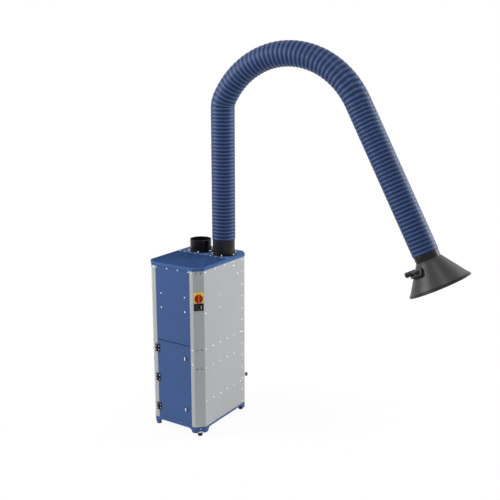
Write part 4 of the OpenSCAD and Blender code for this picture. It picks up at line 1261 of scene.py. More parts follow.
@dataclass
class Hinges:
    """The door's three hinges: where they sit, and the size of their leaves."""

    cabinet: Cabinet
    axis_x: float = -0.150
    middles: Triple = (0.16528, 0.39694, 0.62563)
    height: float = 0.056
    leaf: float = 0.017
    leaf_inset: float = 0.0025
    leaf_t: float = 0.004
    leaf_edge: float = 0.0009

    def seats(self, way: int) -> list[Seat]:
        """Seats of the screws on one side's leaves.

        Args:
            way: -1 for the leaves on the frame, 1 for those on the door.

        Returns:
            The seats.
        """
        x = self.axis_x + way * (self.leaf_inset + self.leaf * 0.6)
        return [Seat(Vector((x, self.cabinet.front - self.leaf_t, z + end * self.height / 4)), AHEAD)
                for z in self.middles for end in (-1, 1)]


@dataclass
class Fasteners(SubAssembly):
    """Rivets, screws, nuts and studs of the cabinet, each kind on its own seats.

    A shape's section is a row of shares: of its radius, and of its radius or height. The rows of rivets keep
    a distance from the edges, and single ones are placed by shares of the panels' depth and height.
    """

    cabinet: Cabinet
    hinges: Hinges
    tree: FastenerTree
    sunk: float = 0.0002
    rivet_r: float = 0.0048
    rivet_brim: float = 0.0005
    rivet_dome: Section = ((0.84, 0.32), (0.5, 0.46), (0.3, 0.48), (0.24, 0.3), (0.0, 0.3))
    screw_r: float = 0.0035
    corner_screw_r: float = 0.0047
    screw_h: float = 0.0018
    screw_head: Section = ((1.0, 0.4), (0.84, 0.86), (0.5, 1.0), (0.4, 0.94), (0.3, 0.35), (0.0, 0.3))
    washer_r: float = 0.0074
    washer_t: float = 0.0012
    nut_r: float = 0.0058
    nut_top: float = 0.0064
    thread_r: float = 0.0032
    thread_root: float = 0.0028
    thread_low: float = 0.0050
    thread_top: float = 0.0090
    thread_pitch: float = 0.00115
    thread_turns: int = 3
    flank: float = 0.0006
    side_rows: tuple[tuple[float, int], ...] = ((0.166, 6), (0.384, 5), (0.507, 6))
    side_singles: Section = ((0.387, 0.817), (0.387, 0.735), (0.113, 0.734), (0.763, 0.903), (0.679, 0.963))
    row_edge: float = 0.0136
    row_pitches: float = 5.5
    column_edge: float = 0.034
    column_ends: float = 0.021
    column_count: int = 13
    rear_count: int = 8
    top_edge: float = 0.014
    top_shift: float = 0.0068
    top_count: int = 4
    panel_edge: float = 0.0068
    panel_top_edge: float = 0.0104
    lid_count: int = 10
    catch_shares: tuple[float, ...] = (0.411, 0.502)
    panel_shares: tuple[float, ...] = (0.738, 0.829)
    corner_shares: tuple[float, ...] = (0.382, 0.505, 0.986)
    corner_across: float = 0.01625
    foot_screw_z: float = 0.059
    spigots: tuple[float, float] = (-0.094, 0.118)
    spigot_y: float = 0.160
    bolt_circle: float = 0.0925
    flange_t: float = 0.005
    ears: int = 6
    ear_turn: float = math.radians(-6)

    def rivet(self) -> bpy.types.Mesh:
        """A domed rivet head with the hollow of its drawn pin.

        Returns:
            The mesh, standing on its seat with Z out.
        """
        r = self.rivet_r
        return turned("rivet", [(r, -self.sunk), (r, self.rivet_brim), *scaled(self.rivet_dome, r, r),
                                (0.0, -self.sunk)], 10)

    def screw(self, r: float) -> bpy.types.Mesh:
        """A pan head of a radius with a round drive recess."""
        head = scaled(self.screw_head, r, self.screw_h)
        return turned("screw", [(r, -self.sunk), *head, (0.0, -self.sunk)], 12)

    def stud(self) -> bpy.types.Mesh:
        """A washer, a nut and the threaded end of a stud.

        Returns:
            The mesh, standing on its seat with Z out.
        """
        under, top = self.washer_t, self.nut_top
        nut = turned("nut", [(self.nut_r, under), (self.nut_r, top - self.flank), (self.nut_r * 0.86, top),
                             (0.0, top), (0.0, under)], 6)
        thread: list[tuple[float, float]] = [(0.0, self.thread_low)]
        for i in range(self.thread_turns):
            low = self.thread_low + i * self.thread_pitch
            thread += [(self.thread_root, low), (self.thread_r, low + self.flank)]
        thread += [(self.thread_root - self.sunk, self.thread_top - self.sunk), (0.0, self.thread_top)]
        return joined("stud", [nut, rod("washer", self.washer_r, -self.sunk, under, 16),
                               turned("thread", thread, 10)])

    def side_places(self) -> Iterator[tuple[float, float]]:
        """Y and Z of the rivets on a side: rows, a column, the top edge and the single ones.

        Yields:
            The places.
        """
        shell = self.cabinet
        start = shell.corner + self.row_edge
        first, column = shell.front + start, shell.depth / 2 - shell.corner - self.column_edge
        for share, count in self.side_rows:
            for i in range(count):
                yield first + i * (shell.depth - 2 * start) / self.row_pitches, shell.level(share)
        for z in spaced(shell.bottom + self.column_ends, shell.top - self.column_ends, self.column_count):
            yield column, z
        for i in range(self.top_count):
            yield first + self.top_shift + i * (column - first) / self.top_count, shell.top - self.top_edge
        for deep, high in self.side_singles:
            yield shell.front + deep * shell.depth, shell.level(high)

    def front_places(self) -> Iterator[tuple[float, float]]:
        """X and Z of the rivets on the front: the panel's, the latches' strip's and both strips' tops.

        Yields:
            The places.
        """
        shell = self.cabinet
        reach = shell.panel_x - self.panel_edge
        for x in spaced(-reach, reach, self.top_count):
            yield x, shell.top - self.panel_top_edge
        for share in self.catch_shares:
            yield shell.strip_x + shell.strip_w * 0.6, shell.level(share)
        for way in (-1, 1):
            yield way * shell.strip_middle, shell.top - self.top_edge
            for share in self.panel_shares:
                yield way * shell.strip_x * 0.7, shell.level(share)

    def rivets(self) -> Iterator[Seat]:
        """Seats of the rivets on the sides, the front, the rear and the lid.

        Yields:
            The seats.
        """
        shell = self.cabinet
        for y, z in self.side_places():
            for way in (-1, 1):
                yield Seat(Vector((way * shell.width / 2, y, z)), Vector((way, 0.0, 0.0)))
        for x, z in self.front_places():
            yield Seat(Vector((x, shell.front, z)), AHEAD)
        for z in spaced(shell.bottom + self.column_ends, shell.top - self.column_ends, self.rear_count):
            for way in (-1, 1):
                yield Seat(Vector((way * shell.strip_middle, shell.depth / 2, z)), REARWARD)
        pitch = (shell.width - 2 * shell.lid_border) / (self.lid_count - 0.5)
        for i in range(self.lid_count):
            yield Seat(Vector(((i - (self.lid_count - 1) / 2) * pitch, shell.plate_y + shell.lid_border / 2,
                               shell.lid_top)), UP)

    def corner_screws(self) -> Iterator[Seat]:
        """Seats of the dark screws, in pairs on the corner faces.

        Yields:
            The seats.
        """
        shell = self.cabinet
        for right, rear in CORNERS:
            for share in self.corner_shares:
                for way in (-1, 1):
                    yield shell.corner_seat(right, rear, shell.level(share), way * self.corner_across)

    def studs(self) -> Iterator[Seat]:
        """Seats of the studs on the spigots' flanges.

        Yields:
            The seats.
        """
        r, height = self.bolt_circle, self.cabinet.lid_top + self.flange_t
        for x in self.spigots:
            for i in range(self.ears):
                a = self.ear_turn + math.tau * i / self.ears
                yield Seat(Vector((x + r * math.cos(a), self.spigot_y + r * math.sin(a), height)), UP)

    def build(self) -> None:
        """Builds the cabinet's fasteners."""
        place = self.tree.place
        feet = [self.cabinet.corner_seat(right, rear, self.foot_screw_z) for right, rear in CORNERS]
        place("cabinet_rivets", self.rivet(), self.rivets(), RIVET_METAL, "cabinet", "rivets", twist=0.0)
        place("cabinet_pan_screws", self.screw(self.screw_r), [*feet, *self.hinges.seats(-1)], ZINC,
              "cabinet", "cabinet_screws")
        place("corner_screws", self.screw(self.corner_screw_r), self.corner_screws(), BLACK_METAL, "cabinet",
              seed=3)
        place("spigot_studs", self.stud(), self.studs(), ZINC, "cabinet", seed=11)


@dataclass
class DoorFittings(SubAssembly):
    """The door with its hinges and quarter-turn latches."""

    cabinet: Cabinet
    fasteners: Fasteners
    door_edge: float = 0.0016
    latch_x: float = 0.105
    latch_z: tuple[tuple[str, float], ...] = (("latch_lower", 0.199732), ("latch_upper", 0.591772))
    latch_r: float = 0.013
    latch_head: Section = ((1.0, 0.0), (1.0, 0.003), (0.93, 0.0045), (0.72, 0.005), (0.66, 0.0044),
                           (0.0, 0.0044), (0.0, 0.0))
    shank_r: float = 0.008
    shank_ends: tuple[float, float] = (-0.0236, 0.001)
    wing: Block = Block((0.024, 0.008, 0.0106), (0.0, 0.0, 0.0088), 0.0032, 4)
    cam: Block = Block((0.018, 0.037, 0.003), (0.0, -0.0185, -0.0218), 0.0008)

    def latch(self, name: str, height: float) -> tuple[bpy.types.Object, bpy.types.Object]:
        """A latch: turned head with a collar, and a wing with rounded ends.

        Args:
            name: The CAD node's name.
            height: Height of its axis.

        Returns:
            The head with its shank and cam, and the wing.
        """
        head = joined(name, [turned(name, scaled(self.latch_head, self.latch_r), 48),
                             rod(name, self.shank_r, *self.shank_ends, 32), self.cam.mesh(name)])
        origin = Vector((self.latch_x, self.cabinet.front, height))
        at = local_frame(origin, UP, Vector((-1.0, 0.0, 0.0)), AHEAD)
        return (put(name + "_turned", head, at, SHARP_TURN),
                put(name + "_wing", self.wing.mesh(name), at, SHARP_TURN))

    def build(self) -> None:
        """Builds the fittings."""
        fasteners, hinges = self.fasteners, self.fasteners.hinges
        self.soften(BLUE_PAINT, self.door_edge, "door")
        self.soften(BLACK_METAL, hinges.leaf_edge, "hinge_leaves_frame", "hinge_leaves_door")
        fasteners.tree.place("door_hinge_screws", fasteners.screw(fasteners.screw_r), hinges.seats(1), ZINC,
                             "door", "hinge_screws_door", seed=5)
        for node, height in self.latch_z:
            head, wing = self.latch(node, height)
            # The head, shank and cam wear chrome painted darker as painted shade; the wing keeps the bright
            # chrome.
            dress_mesh(head, CHROME_PAINTED_SHADE, node, node)
            dress_mesh(wing, CHROME, node)


@dataclass
class SwitchAndMeter(SubAssembly):
    """Main switch and hour meter on the right front corner face."""

    cabinet: Cabinet
    plate_edge: float = 0.0009
    bezel_edge: float = 0.0016
    knob_z: float = 1.050
    knob_r: float = 0.0305
    knob_base: Section = ((1.0, 0.0033), (1.0, 0.0088), (0.96, 0.0106), (0.88, 0.0113), (0.8, 0.0106),
                          (0.45, 0.0112), (0.0, 0.0112), (0.0, 0.0033))
    shaft_r: float = 0.005
    shaft_ends: tuple[float, float] = (-0.0307, 0.004)
    grip: Block = Block((0.0125, 0.0570, 0.0135), (0.0, 0.0, 0.0164), 0.0036, 4)
    grip_taper: tuple[float, float] = (0.78, 0.93)
    meter_z: float = 0.9875
    glass: Block = Block((0.049, 0.031, 0.0015), (0.0, 0.0, 0.0037), 0.0004)
    bar: Block = Block((0.0042, 0.026, 0.0010), (0.0185, 0.0, 0.0047), 0.0003)
    ring_at: Triple = (-0.0045, 0.0, 0.0045)
    ring_size: tuple[float, float] = (0.034, 0.024)
    ring_r: float = 0.004
    ring_band: float = 0.0022
    ring_h: float = 0.0008
    ring_steps: int = 6

    def frame_at(self, height: float) -> Matrix:
        """Local frame on the corner face: X across it, Y up, Z out of it."""
        seat = self.cabinet.corner_seat(True, False, height)
        return local_frame(seat.place, Vector((-seat.facing.y, seat.facing.x, 0.0)), UP, seat.facing)

    def knob(self) -> tuple[bpy.types.Object, bpy.types.Object]:
        """The red knob: a round base with a rim, and a grip with rounded ends.

        Returns:
            The base with its shaft, and the grip.
        """
        base = joined("knob", [turned("knob", scaled(self.knob_base, self.knob_r), 72),
                               rod("knob", self.shaft_r, *self.shaft_ends, 24)])
        grip = self.grip.mesh("knob")
        for vertex in grip.vertices:
            if vertex.co.z > self.grip.centre[2]:
                vertex.co.x *= self.grip_taper[0]
                vertex.co.y *= self.grip_taper[1]
        at = self.frame_at(self.knob_z)
        return (put("switch_knob_moulded", base, at, SHARP_TURN),
                put("switch_knob_grip", grip, at, SHARP_TURN))

    def ring(self) -> bpy.types.Mesh:
        """The raised band round the meter's window.

        Returns:
            The mesh, in the meter's local frame.
        """
        work = bmesh.new()
        rings: list[Ring] = []
        half_w, half_h = (size / 2 - self.ring_r for size in self.ring_size)
        inside, top = -self.ring_band, self.ring_h
        for grow, level in ((0.0, 0.0), (0.0, top), (inside, top), (inside, 0.0)):
            ring = []
            for cx, cy, first in ((1, 1, 0), (-1, 1, 90), (-1, -1, 180), (1, -1, 270)):
                for k in range(self.ring_steps + 1):
                    angle = math.radians(first + 90 * k / self.ring_steps)
                    ring.append(work.verts.new(Vector(self.ring_at) + Vector((
                        cx * half_w + (self.ring_r + grow) * math.cos(angle),
                        cy * half_h + (self.ring_r + grow) * math.sin(angle), level))))
            rings.append(ring)
        bridge(work, rings)
        bmesh.ops.recalc_face_normals(work, faces=work.faces)
        return written("ring", work)

    def build(self) -> None:
        """Builds the switch and the meter."""
        self.soften(YELLOW_PLATE, self.plate_edge, "switch_plate")
        self.soften(METER_BEZEL, self.bezel_edge, "hour_meter")
        knob, grip = self.knob()
        # The base and shaft wear the red painted darker as painted shade.
        dress_mesh(knob, RED_KNOB_PAINTED_SHADE, "switch_knob", "switch_knob")
        dress_mesh(grip, RED_GRIP, "switch_knob")
        at = self.frame_at(self.meter_z)
        dress_mesh(put("meter_glass", self.glass.mesh("glass"), at), WINDOW, "cabinet", "meter_window")
        dress_mesh(put("meter_ring", self.ring(), at), GREY_INLAY, "cabinet")
        dress_mesh(put("meter_bar", self.bar.mesh("bar"), at), PALE_INLAY, "cabinet")


@dataclass
class Feet(SubAssembly):
    """Levelling feet: domed rubber pads behind the four corner faces."""

    cabinet: Cabinet
    tree: FastenerTree
    inset: float = 0.024
    pad_r: float = 0.018
    pad_h: float = 0.020
    sole: float = 0.0015
    brim: float = 0.006
    neck_r: float = 0.010
    neck_h: float = 0.005
    neck_edge: Section = ((0.0, 0.001), (0.0006, 0.0))

    def build(self) -> None:
        """Builds the feet."""
        r, neck, top = self.pad_r, self.neck_r, self.pad_h + self.neck_h
        section = [(0.0, 0.0), (r * 0.94, 0.0), (r, self.sole), (r, self.brim)]
        section += [(neck + (r - neck) * math.cos(a), self.brim + (self.pad_h - self.brim) * math.sin(a))
                    for a in (math.radians(d) for d in range(15, 91, 15))]
        section += [*((neck - into, top - down) for into, down in self.neck_edge), (0.0, top)]
        seats = [Seat(self.cabinet.corner_seat(right, rear, 0.0, out=-self.inset).place, UP)
                 for right, rear in CORNERS]
        self.tree.place("foot_pads", turned("foot_pad", section, 48), seats, FOOT_RUBBER, "cabinet",
                        "levelling_feet", twist=0.0)


@dataclass
class Ducts(SubAssembly):
    """The two spigots, the swivelling cuff, and the post, stays and pins inside the hose."""

    spigot_edge: float = 0.0008
    cuff_edge: float = 0.0009

    def build(self) -> None:
        """Dresses the spigots, the cuff and the arm's frame."""
        self.soften(BLACK_METAL, self.spigot_edge, "outlet_spigot", "inlet_spigot")
        self.soften(BLACK_PLASTIC, self.cuff_edge, "swivel_cuff")
        self.paint(PLAIN_STEEL, "riser_post", "upper_stay", "fore_stay")
        self.paint(ZINC, "shoulder_pin", "elbow_pin", "wrist_pin")


@dataclass
class AirFitting(SubAssembly):
    """The rear air fitting with its knob, and the cable gland."""

    body_edge: float = 0.0006
    knob_edge: float = 0.0014
    gland_edge: float = 0.0008

    def build(self) -> None:
        """Dresses the fittings."""
        self.soften(BRASS, self.body_edge, "air_fitting")
        self.soften(KNOB_GREY, self.knob_edge, "air_knob")
        self.soften(BLACK_PLASTIC, self.gland_edge, "cable_gland")


@dataclass(frozen=True)
class Stretch:
    """A length of the hose.

    Args:
        node: The CAD node that it stands for.
        start: Station of its start, counted from the cuff.
        end: Station of its end.
        bodies: The body that it rides on, or the two at its ends.
    """

    node: str
    start: int
    end: int
    bodies: tuple[str, ...]


@dataclass
class Hose(SubAssembly):
    """The ribbed hose: its route, and its six stretches between the arm's joints."""

    inlet_x: float = 0.118
    y: float = 0.160
    cuff_top: float = 1.384
    shoulder_h: float = 0.989
    lean: float = math.radians(25)
    bend_r: float = 0.150
    arch_r: float = 0.590
    run_heading: float = math.radians(151.6)
    run_l: float = 1.050
    stations: int = 124
    rib_step: float = 0.0261
    arch_step: float = 0.0345
    run_step: float = 0.0265
    easing: float = 0.070
    crest_r: float = 0.0868
    fold: float = 0.0021
    wire_share: float = 0.12
    slack: float = 0.0012
    slack_seed: int = 3
    wall: float = 0.0022
    rings_a_rib: int = 12
    sides: int = 60
    firm_end: float = 0.004
    plan: tuple[Stretch, ...] = (
        Stretch("hose_riser", 0, 32, ("arm_base",)),
        Stretch("hose_shoulder", 32, 42, ("arm_base", "upper_arm")),
        Stretch("hose_upper", 42, 56, ("upper_arm",)),
        Stretch("hose_elbow", 56, 68, ("upper_arm", "forearm")),
        Stretch("hose_fore", 68, 118, ("forearm",)),
        Stretch("hose_wrist", 118, 124, ("forearm", "hood_knuckle")),
    )

    def __post_init__(self) -> None:
        """Works out the route."""
        self.arch_x = self.inlet_x + self.arch_r * math.cos(self.lean)
        self.arch_z = self.cuff_top + self.shoulder_h - self.arch_r * math.sin(self.lean)
        self.bend_top = math.acos((self.arch_x - self.inlet_x - self.bend_r) / (self.arch_r - self.bend_r))
        self.bend_z = self.arch_z + (self.arch_r - self.bend_r) * math.sin(self.bend_top)
        self.riser_l = self.bend_z - self.cuff_top
        self.bend_l = self.bend_r * self.bend_top
        arch_l = self.arch_r * (self.run_heading - self.bend_top)
        self.length = self.riser_l + self.bend_l + arch_l + self.run_l
        self.station = self.length / self.stations
        self.marks = self._count_ribs()

    def _step(self, s: float) -> float:
        """Distance between ribs at a distance along the hose: the fabric is drawn out over the arch.

        Args:
            s: The distance along the hose.

        Returns:
            The distance between the ribs there.
        """
        into = min(1.0, max(0.0, (s - self.riser_l + self.easing / 2) / self.easing))
        out = min(1.0, max(0.0, (s - self.length + self.run_l + self.easing / 2) / self.easing))
        step = self.rib_step + (self.arch_step - self.rib_step) * into
        return step + (self.run_step - self.arch_step) * out

    def _count_ribs(self) -> list[float]:
        """Counts the ribs along the hose, millimetre by millimetre, and ends on a whole one.

        Returns:
            The count at each millimetre step.
        """
        steps = round(self.length * 1000)
        counts = [0.0]
        for i in range(steps):
            counts.append(counts[-1] + self.length / steps / self._step((i + 0.5) * self.length / steps))
        whole = round(counts[-1]) / counts[-1]
        return [count * whole for count in counts]

    def rib_at(self, s: float) -> int:
        """The rib nearest to a distance along the hose."""
        return round(self.marks[round(s / self.length * (len(self.marks) - 1))])

    def along(self, rib: float) -> float:
        """Distance along the hose of a rib or of a share of one.

        Args:
            rib: The rib, counted from the cuff.

        Returns:
            The distance.
        """
        i = min(max(bisect.bisect_right(self.marks, rib) - 1, 0), len(self.marks) - 2)
        share = (rib - self.marks[i]) / (self.marks[i + 1] - self.marks[i])
        return (i + share) * self.length / (len(self.marks) - 1)

    def heading(self, s: float) -> float:
        """Heading from straight up at a distance along the hose.

        Args:
            s: The distance along the hose.

        Returns:
            The heading, in radians.
        """
        if s < self.riser_l:
            return 0.0
        if s < self.riser_l + self.bend_l:
            return (s - self.riser_l) / self.bend_r
        if s < self.length - self.run_l:
            return self.bend_top + (s - self.riser_l - self.bend_l) / self.arch_r
        return self.run_heading

    def place(self, s: float) -> Vector:
        """Place of the hose's centre at a distance along it.

        Args:
            s: The distance along the hose.

        Returns:
            The place.
        """
        angle = self.heading(s)
        if s < self.riser_l:
            return Vector((self.inlet_x, self.y, self.cuff_top + s))
        if s < self.riser_l + self.bend_l:
            return Vector((self.inlet_x + self.bend_r * (1 - math.cos(angle)), self.y,
                           self.bend_z + self.bend_r * math.sin(angle)))
        left = max(0.0, s - self.length + self.run_l)
        return Vector((self.arch_x - self.arch_r * math.cos(angle) + left * math.sin(angle), self.y,
                       self.arch_z + self.arch_r * math.sin(angle) + left * math.cos(angle)))

    def direction(self, s: float) -> Vector:
        """Direction of the hose at a distance along it."""
        return Vector((math.sin(self.heading(s)), 0.0, math.cos(self.heading(s))))

    def skin(self, tree: HoseTree, name: str, first: int, last: int) -> bpy.types.Object:
        """Makes the hose between two ribs.

        Args:
            tree: The hose's tree.
            name: The piece's name.
            first: Rib at its start, counted from the cuff.
            last: Rib at its end.

        Returns:
            The piece.
        """
        steps = (last - first) * self.rings_a_rib
        line = [self.place(self.along(first + k / self.rings_a_rib)) for k in range(steps + 1)]
        return tree.skin(name, line, {
            "Rings a rib": self.rings_a_rib, "Crest radius": self.crest_r, "Fold": self.fold,
            "Wire share": self.wire_share, "Sides": self.sides, "Slack": self.slack,
            "Seed": self.slack_seed, "Material": FABRIC.material()}, self.wall)

    def firm_places(self, first: int, last: int) -> tuple[Vector, Vector]:
        """Where a bending stretch starts and ends to bend.

        Args:
            first: Rib at the stretch's start.
            last: Rib at its end.

        Returns:
            The two places, clear of the stretch's end rings.
        """
        start, end = (self.place(self.along(rib)) for rib in (first, last))
        way = (end - start).normalized()
        spread = [self.crest_r * math.sqrt(max(0.0, 1 - self.direction(self.along(rib)).dot(way) ** 2))
                  for rib in (first, last)]
        return start + way * (spread[0] + self.firm_end), end - way * (spread[1] + self.firm_end)

    def build(self) -> None:
        """Builds the stretches; those on one body hang on the arm, and those between two bodies stay where
        they are built.
        """
        tree = HoseTree()
        for part in self.plan:
            first, last = self.rib_at(part.start * self.station), self.rib_at(part.end * self.station)
            piece = self.skin(tree, part.node + "_skin", first, last)
            if len(part.bodies) == 1:
                dress_mesh(piece, FABRIC, part.bodies[0], part.node)
                continue
            start, end = self.firm_places(first, last)
            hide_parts(part.node)
            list(part.bodies)
            tuple(start)
            tuple(end)
            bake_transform(piece)
            log.info("built %s, bending from %s to %s", piece.name, *part.bodies)


@dataclass
class Hood(SubAssembly):
    """The suction hood: collar, cone, rim and handle."""

    hose: Hose
    collar_r: float = 0.082
    collar_l: float = 0.042
    collar_bead: Section = ((-0.0006, 0.0), (0.0, 0.0006), (0.0, 0.003), (0.0012, 0.0045), (0.0012, 0.0065),
                            (0.0, 0.008))
    collar_edge: Section = ((0.0, 0.0016), (-0.0008, 0.0))
    cone_l: float = 0.182
    mouth_r: float = 0.205
    wall: float = 0.0025
    gap: float = 0.0004
    sleeve: float = 0.030
    shoulder: float = 0.004
    shoulder_step: float = 0.0006
    shoulder_steps: int = 4
    cone_steps: int = 12
    rim_t: float = 0.009
    rim_lip: float = 0.015
    rim_lip_t: float = 0.002
    rim_fit: float = 0.00015
    rim_edge: float = 0.0008
    rim_steps: int = 10
    handle_edge: float = 0.0016
    sides: int = 128
    smooth_turn: float = math.radians(40.0)

    @property
    def slope(self) -> float:
        """How much the cone widens for its length."""
        return (self.mouth_r - self.collar_r) / self.cone_l

    @property
    def cut_wall(self) -> float:
        """The cone's wall, measured level."""
        return self.wall * math.sqrt(1 + self.slope * self.slope)

    @property
    def mouth(self) -> float:
        """Height of the cone's end in the local frame."""
        return self.collar_l + self.cone_l

    def frame_at_end(self) -> Matrix:
        """Local frame at the hose's end: Z along the hose, X across it in the arm's plane."""
        way = self.hose.direction(self.hose.length)
        return local_frame(self.hose.place(self.hose.length), REARWARD.cross(way), REARWARD, way)

    def cone(self) -> bpy.types.Mesh:
        """The spun cone with its sleeve and a rolled shoulder.

        Returns:
            The mesh, in the local frame of the hose's end.
        """
        inner, start = self.collar_r - self.wall - self.gap, self.collar_l + self.gap
        outer: list[tuple[float, float]] = []
        for k in range(self.shoulder_steps + 1):
            share = k / self.shoulder_steps
            outward_by = self.shoulder * share ** 2 * self.slope - self.shoulder_step * (1 - share)
            outer.append((self.collar_r + outward_by, start + self.shoulder * share))
        for k in range(1, self.cone_steps + 1):
            along = self.shoulder + (self.cone_l - self.shoulder) * k / self.cone_steps
            outer.append((self.collar_r + along * self.slope, self.collar_l + along))
        inside = [(self.mouth_r - self.cut_wall - (self.mouth_r - self.collar_r) * k / self.cone_steps,
                   self.mouth - self.cone_l * k / self.cone_steps) for k in range(self.cone_steps)]
        low = self.collar_l - self.sleeve
        return turned("hood_cone", [(inner - self.wall, low), (inner, low), (inner, start), *outer, *inside,
                                    (inner - self.wall, start + self.wall)], self.sides)

    def _on_cone(self, back: float, out: float) -> tuple[float, float]:
        """A point of a section, from the cone's end back along it and out from its surface."""
        return self.mouth_r - back * self.slope + out, self.mouth - back

    def rim(self) -> bpy.types.Mesh:
        """The soft edge strip round the mouth.

        Returns:
            The mesh, in the local frame of the hose's end.
        """
        wall, fit, thick, at = self.cut_wall, self.rim_fit, self.rim_lip_t, self._on_cone
        crown_r, crown_h = wall / 2 + thick, self.rim_t / 2
        crown = [(self.mouth_r - wall / 2 + crown_r * math.cos(a), self.mouth + crown_h * math.sin(a))
                 for a in (math.pi * k / self.rim_steps for k in range(1, self.rim_steps))]
        section = [at(self.rim_lip, fit), at(self.rim_lip, thick * 0.6),
                   at(self.rim_lip - self.rim_edge, thick), at(0.0, thick), *crown,
                   at(0.0, -wall - thick), at(self.rim_t, -wall - thick),
                   at(self.rim_t, -wall - fit), at(0.0, -wall - fit), at(0.0, fit)]
        return turned("hood_rim", section, self.sides)

    def collar(self) -> bpy.types.Mesh:
        """The collar's ring, with a bead near the hose.

        Returns:
            The mesh, in the local frame of the hose's end.
        """
        r, inner = self.collar_r, self.collar_r - self.wall
        bead = [(r + out, up) for out, up in self.collar_bead]
        edge = [(r + out, self.collar_l - down) for out, down in self.collar_edge]
        return turned("collar_ring", [(inner, 0.0), *bead, *edge, (inner, self.collar_l)], self.sides)

    def build(self) -> None:
        """Builds the hood."""
        at, turn = self.frame_at_end(), self.smooth_turn
        dress_mesh(put("hood_cone", self.cone(), at, turn), HOOD_PAINT, "hood", "hood")
        dress_mesh(put("hood_edge_strip", self.rim(), at, turn), BLACK_PLASTIC, "hood", "hood_rim")
        dress_mesh(put("collar_ring", self.collar(), at, turn), BLACK_PLASTIC, "hood_knuckle")
        self.paint(BLACK_PLASTIC, "hood_collar")
        self.soften(BLACK_PLASTIC, self.handle_edge, "hood_handle", segments=3)


# ---- Studio


class Backdrop(Enum):
    """Named levels of the studio."""

    WHITE = 1.0
    FLOOR_SHARE = 0.93
    AMBIENT = 0.32


def outward(azimuth: float, elevation: float) -> Vector:
    """The way out from the object at an angle round it and an angle up, in degrees."""
    a, e = math.radians(azimuth), math.radians(elevation)
    return Vector((math.sin(a) * math.cos(e), -math.cos(a) * math.cos(e), math.sin(e)))


def stand(name: str, data: bpy.types.ID, place: Vector, way: Vector) -> bpy.types.Object:
    """Stands a lamp or a camera at a place, looking back along a way.

    Args:
        name: Its name.
        data: The lamp or the camera.
        place: Where it stands.
        way: The way from what it looks at to itself.

    Returns:
        The object.
    """
    made = new_object(name, data)
    made.location = place
    made.rotation_euler = way.to_track_quat("Z", "Y").to_euler()
    return made


@dataclass(frozen=True)
class SoftBox:
    """A soft lamp that looks at a point.

    Args:
        name: The lamp's name.
        azimuth: Where it stands round the object, in degrees, 0 in front and 90 on the right.
        elevation: How high it stands, in degrees.
        distance: Its distance.
        width: Its width.
        height: Its height.
        level: What it adds to a surface that faces it.
    """

    name: str
    azimuth: float
    elevation: float
    distance: float
    width: float
    height: float
    level: float

    def build(self, target: Vector) -> None:
        """Sets up the lamp.

        Args:
            target: The point that it looks at.
        """
        way = outward(self.azimuth, self.elevation)
        lamp = bpy.data.lights.new(self.name, "AREA")
        lamp.shape, lamp.size, lamp.size_y = "RECTANGLE", self.width, self.height
        lamp.energy = self.level * math.pi ** 2 * self.distance ** 2
        stand(self.name, lamp, target + way * self.distance, way)


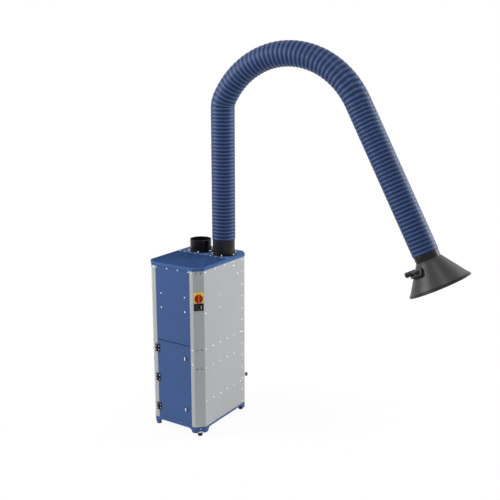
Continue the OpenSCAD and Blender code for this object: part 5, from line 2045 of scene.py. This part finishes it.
@dataclass
class Studio:
    """Camera, lamps, white surroundings and a pale floor that keeps the shadow."""

    azimuth: float = 32.73
    elevation: float = 13.56
    focal_px: float = 779.05
    frame_px: float = 500.0
    sensor: float = 36.0
    camera_at: Triple = (3.3276, -4.4742, 2.6570)
    target: Triple = (0.4, 0.0, 1.3)
    floor_reach: float = 30.0
    floor_grey: float = 0.86
    shadow_reach: tuple[float, float] = (0.4, 1.8)
    lamps: tuple[SoftBox, ...] = (
        SoftBox("left_softbox", -56.0, 22.0, 6.0, 1.8, 4.5, 0.83),
        SoftBox("right_softbox", 134.0, 18.0, 6.0, 1.8, 4.5, 0.83),
        SoftBox("top_softbox", 35.0, 62.0, 6.5, 0.9, 0.9, 0.25),
    )

    def camera(self) -> None:
        """Sets up the camera at the photograph's angle."""
        lens = bpy.data.cameras.new("camera")
        lens.sensor_width = self.sensor
        lens.lens = self.focal_px * self.sensor / self.frame_px
        lens.clip_start, lens.clip_end = 0.1, 200.0
        bpy.context.scene.camera = stand("camera", lens, Vector(self.camera_at),
                                         outward(self.azimuth, self.elevation))

    @staticmethod
    def clear_rays(bench: NodeBench) -> Wire:
        """1 for rays that show the surroundings: from the camera, off gloss or through glass.

        Args:
            bench: The tree that it goes on.

        Returns:
            1 for such rays, or else 0.
        """
        rays = bench.node("ShaderNodeLightPath")
        kinds = ("Is Camera Ray", "Is Glossy Ray", "Is Transmission Ray")
        camera, gloss, glass = (Wire(bench, rays.outputs[kind]) for kind in kinds)
        return (camera + gloss + glass).clamp()

    def floor(self) -> None:
        """Lays the floor: plain paper that turns white away from the object's shadow."""
        work = bmesh.new()
        bmesh.ops.create_grid(work, x_segments=2, y_segments=2, size=self.floor_reach)
        mesh = written("studio_floor", work)
        bench = SurfaceBench("pale_floor")
        grey, near = self.floor_grey, Backdrop.FLOOR_SHARE.value
        paper = bench.node("ShaderNodeBsdfDiffuse", inputs={"Color": (grey, grey, grey, 1.0)})
        white = bench.node("ShaderNodeEmission", inputs={"Color": (1.0, 1.0, 1.0, 1.0),
                                                         "Strength": Backdrop.WHITE.value})
        seen = self.clear_rays(bench)
        split = bench.node("ShaderNodeSeparateXYZ", inputs={"Vector": bench.place})
        across, along = Wire(bench, split.outputs[0]) - self.target[0], Wire(bench, split.outputs[1])
        away = (across * across + along * along) ** 0.5
        share = seen * (near + (1.0 - near) * away.step(*self.shadow_reach))
        both = bench.node("ShaderNodeMixShader", inputs={"Fac": share})
        bench.tree.links.new(paper.outputs[0], both.inputs[1])
        bench.tree.links.new(white.outputs[0], both.inputs[2])
        bench.node("ShaderNodeOutputMaterial", inputs={"Surface": both.outputs[0]})
        mesh.materials.append(bench.material)
        new_object("studio_floor", mesh)

    def world(self) -> None:
        """Sets up the white surroundings and the even light."""
        world = bpy.data.worlds.new("studio")
        world.use_nodes = True
        bpy.context.scene.world = world
        bench = NodeBench(world.node_tree)
        ambient, white = Backdrop.AMBIENT.value, Backdrop.WHITE.value
        level = self.clear_rays(bench) * (white - ambient) + ambient
        sky = bench.node("ShaderNodeBackground", inputs={"Color": (1.0, 1.0, 1.0, 1.0), "Strength": level})
        bench.node("ShaderNodeOutputWorld", inputs={"Surface": sky.outputs[0]})

    def build(self) -> None:
        """Sets up the studio."""
        self.camera()
        self.floor()
        self.world()
        for lamp in self.lamps:
            lamp.build(Vector(self.target))
        bpy.context.scene.view_settings.view_transform = "Standard"


def main() -> None:
    """Builds the studio and every sub-assembly."""
    logging.basicConfig(level=logging.INFO, format="%(message)s")
    Studio().build()
    cabinet, tree, hose = Cabinet(), FastenerTree(), Hose()
    fasteners = Fasteners(cabinet, Hinges(cabinet), tree)
    for part in (cabinet, PerforatedLid(cabinet), fasteners, DoorFittings(cabinet, fasteners),
                 SwitchAndMeter(cabinet), Feet(cabinet, tree), Ducts(), AirFitting(), hose, Hood(hose)):
        log.info("%s:", type(part).__name__)
        part.build()
    for node, made in frame["nodes"].items():
        if not made.hide_render and not made.data.materials:
            log.warning("%s has no finish", node)


if __name__ == "__main__":
    main()
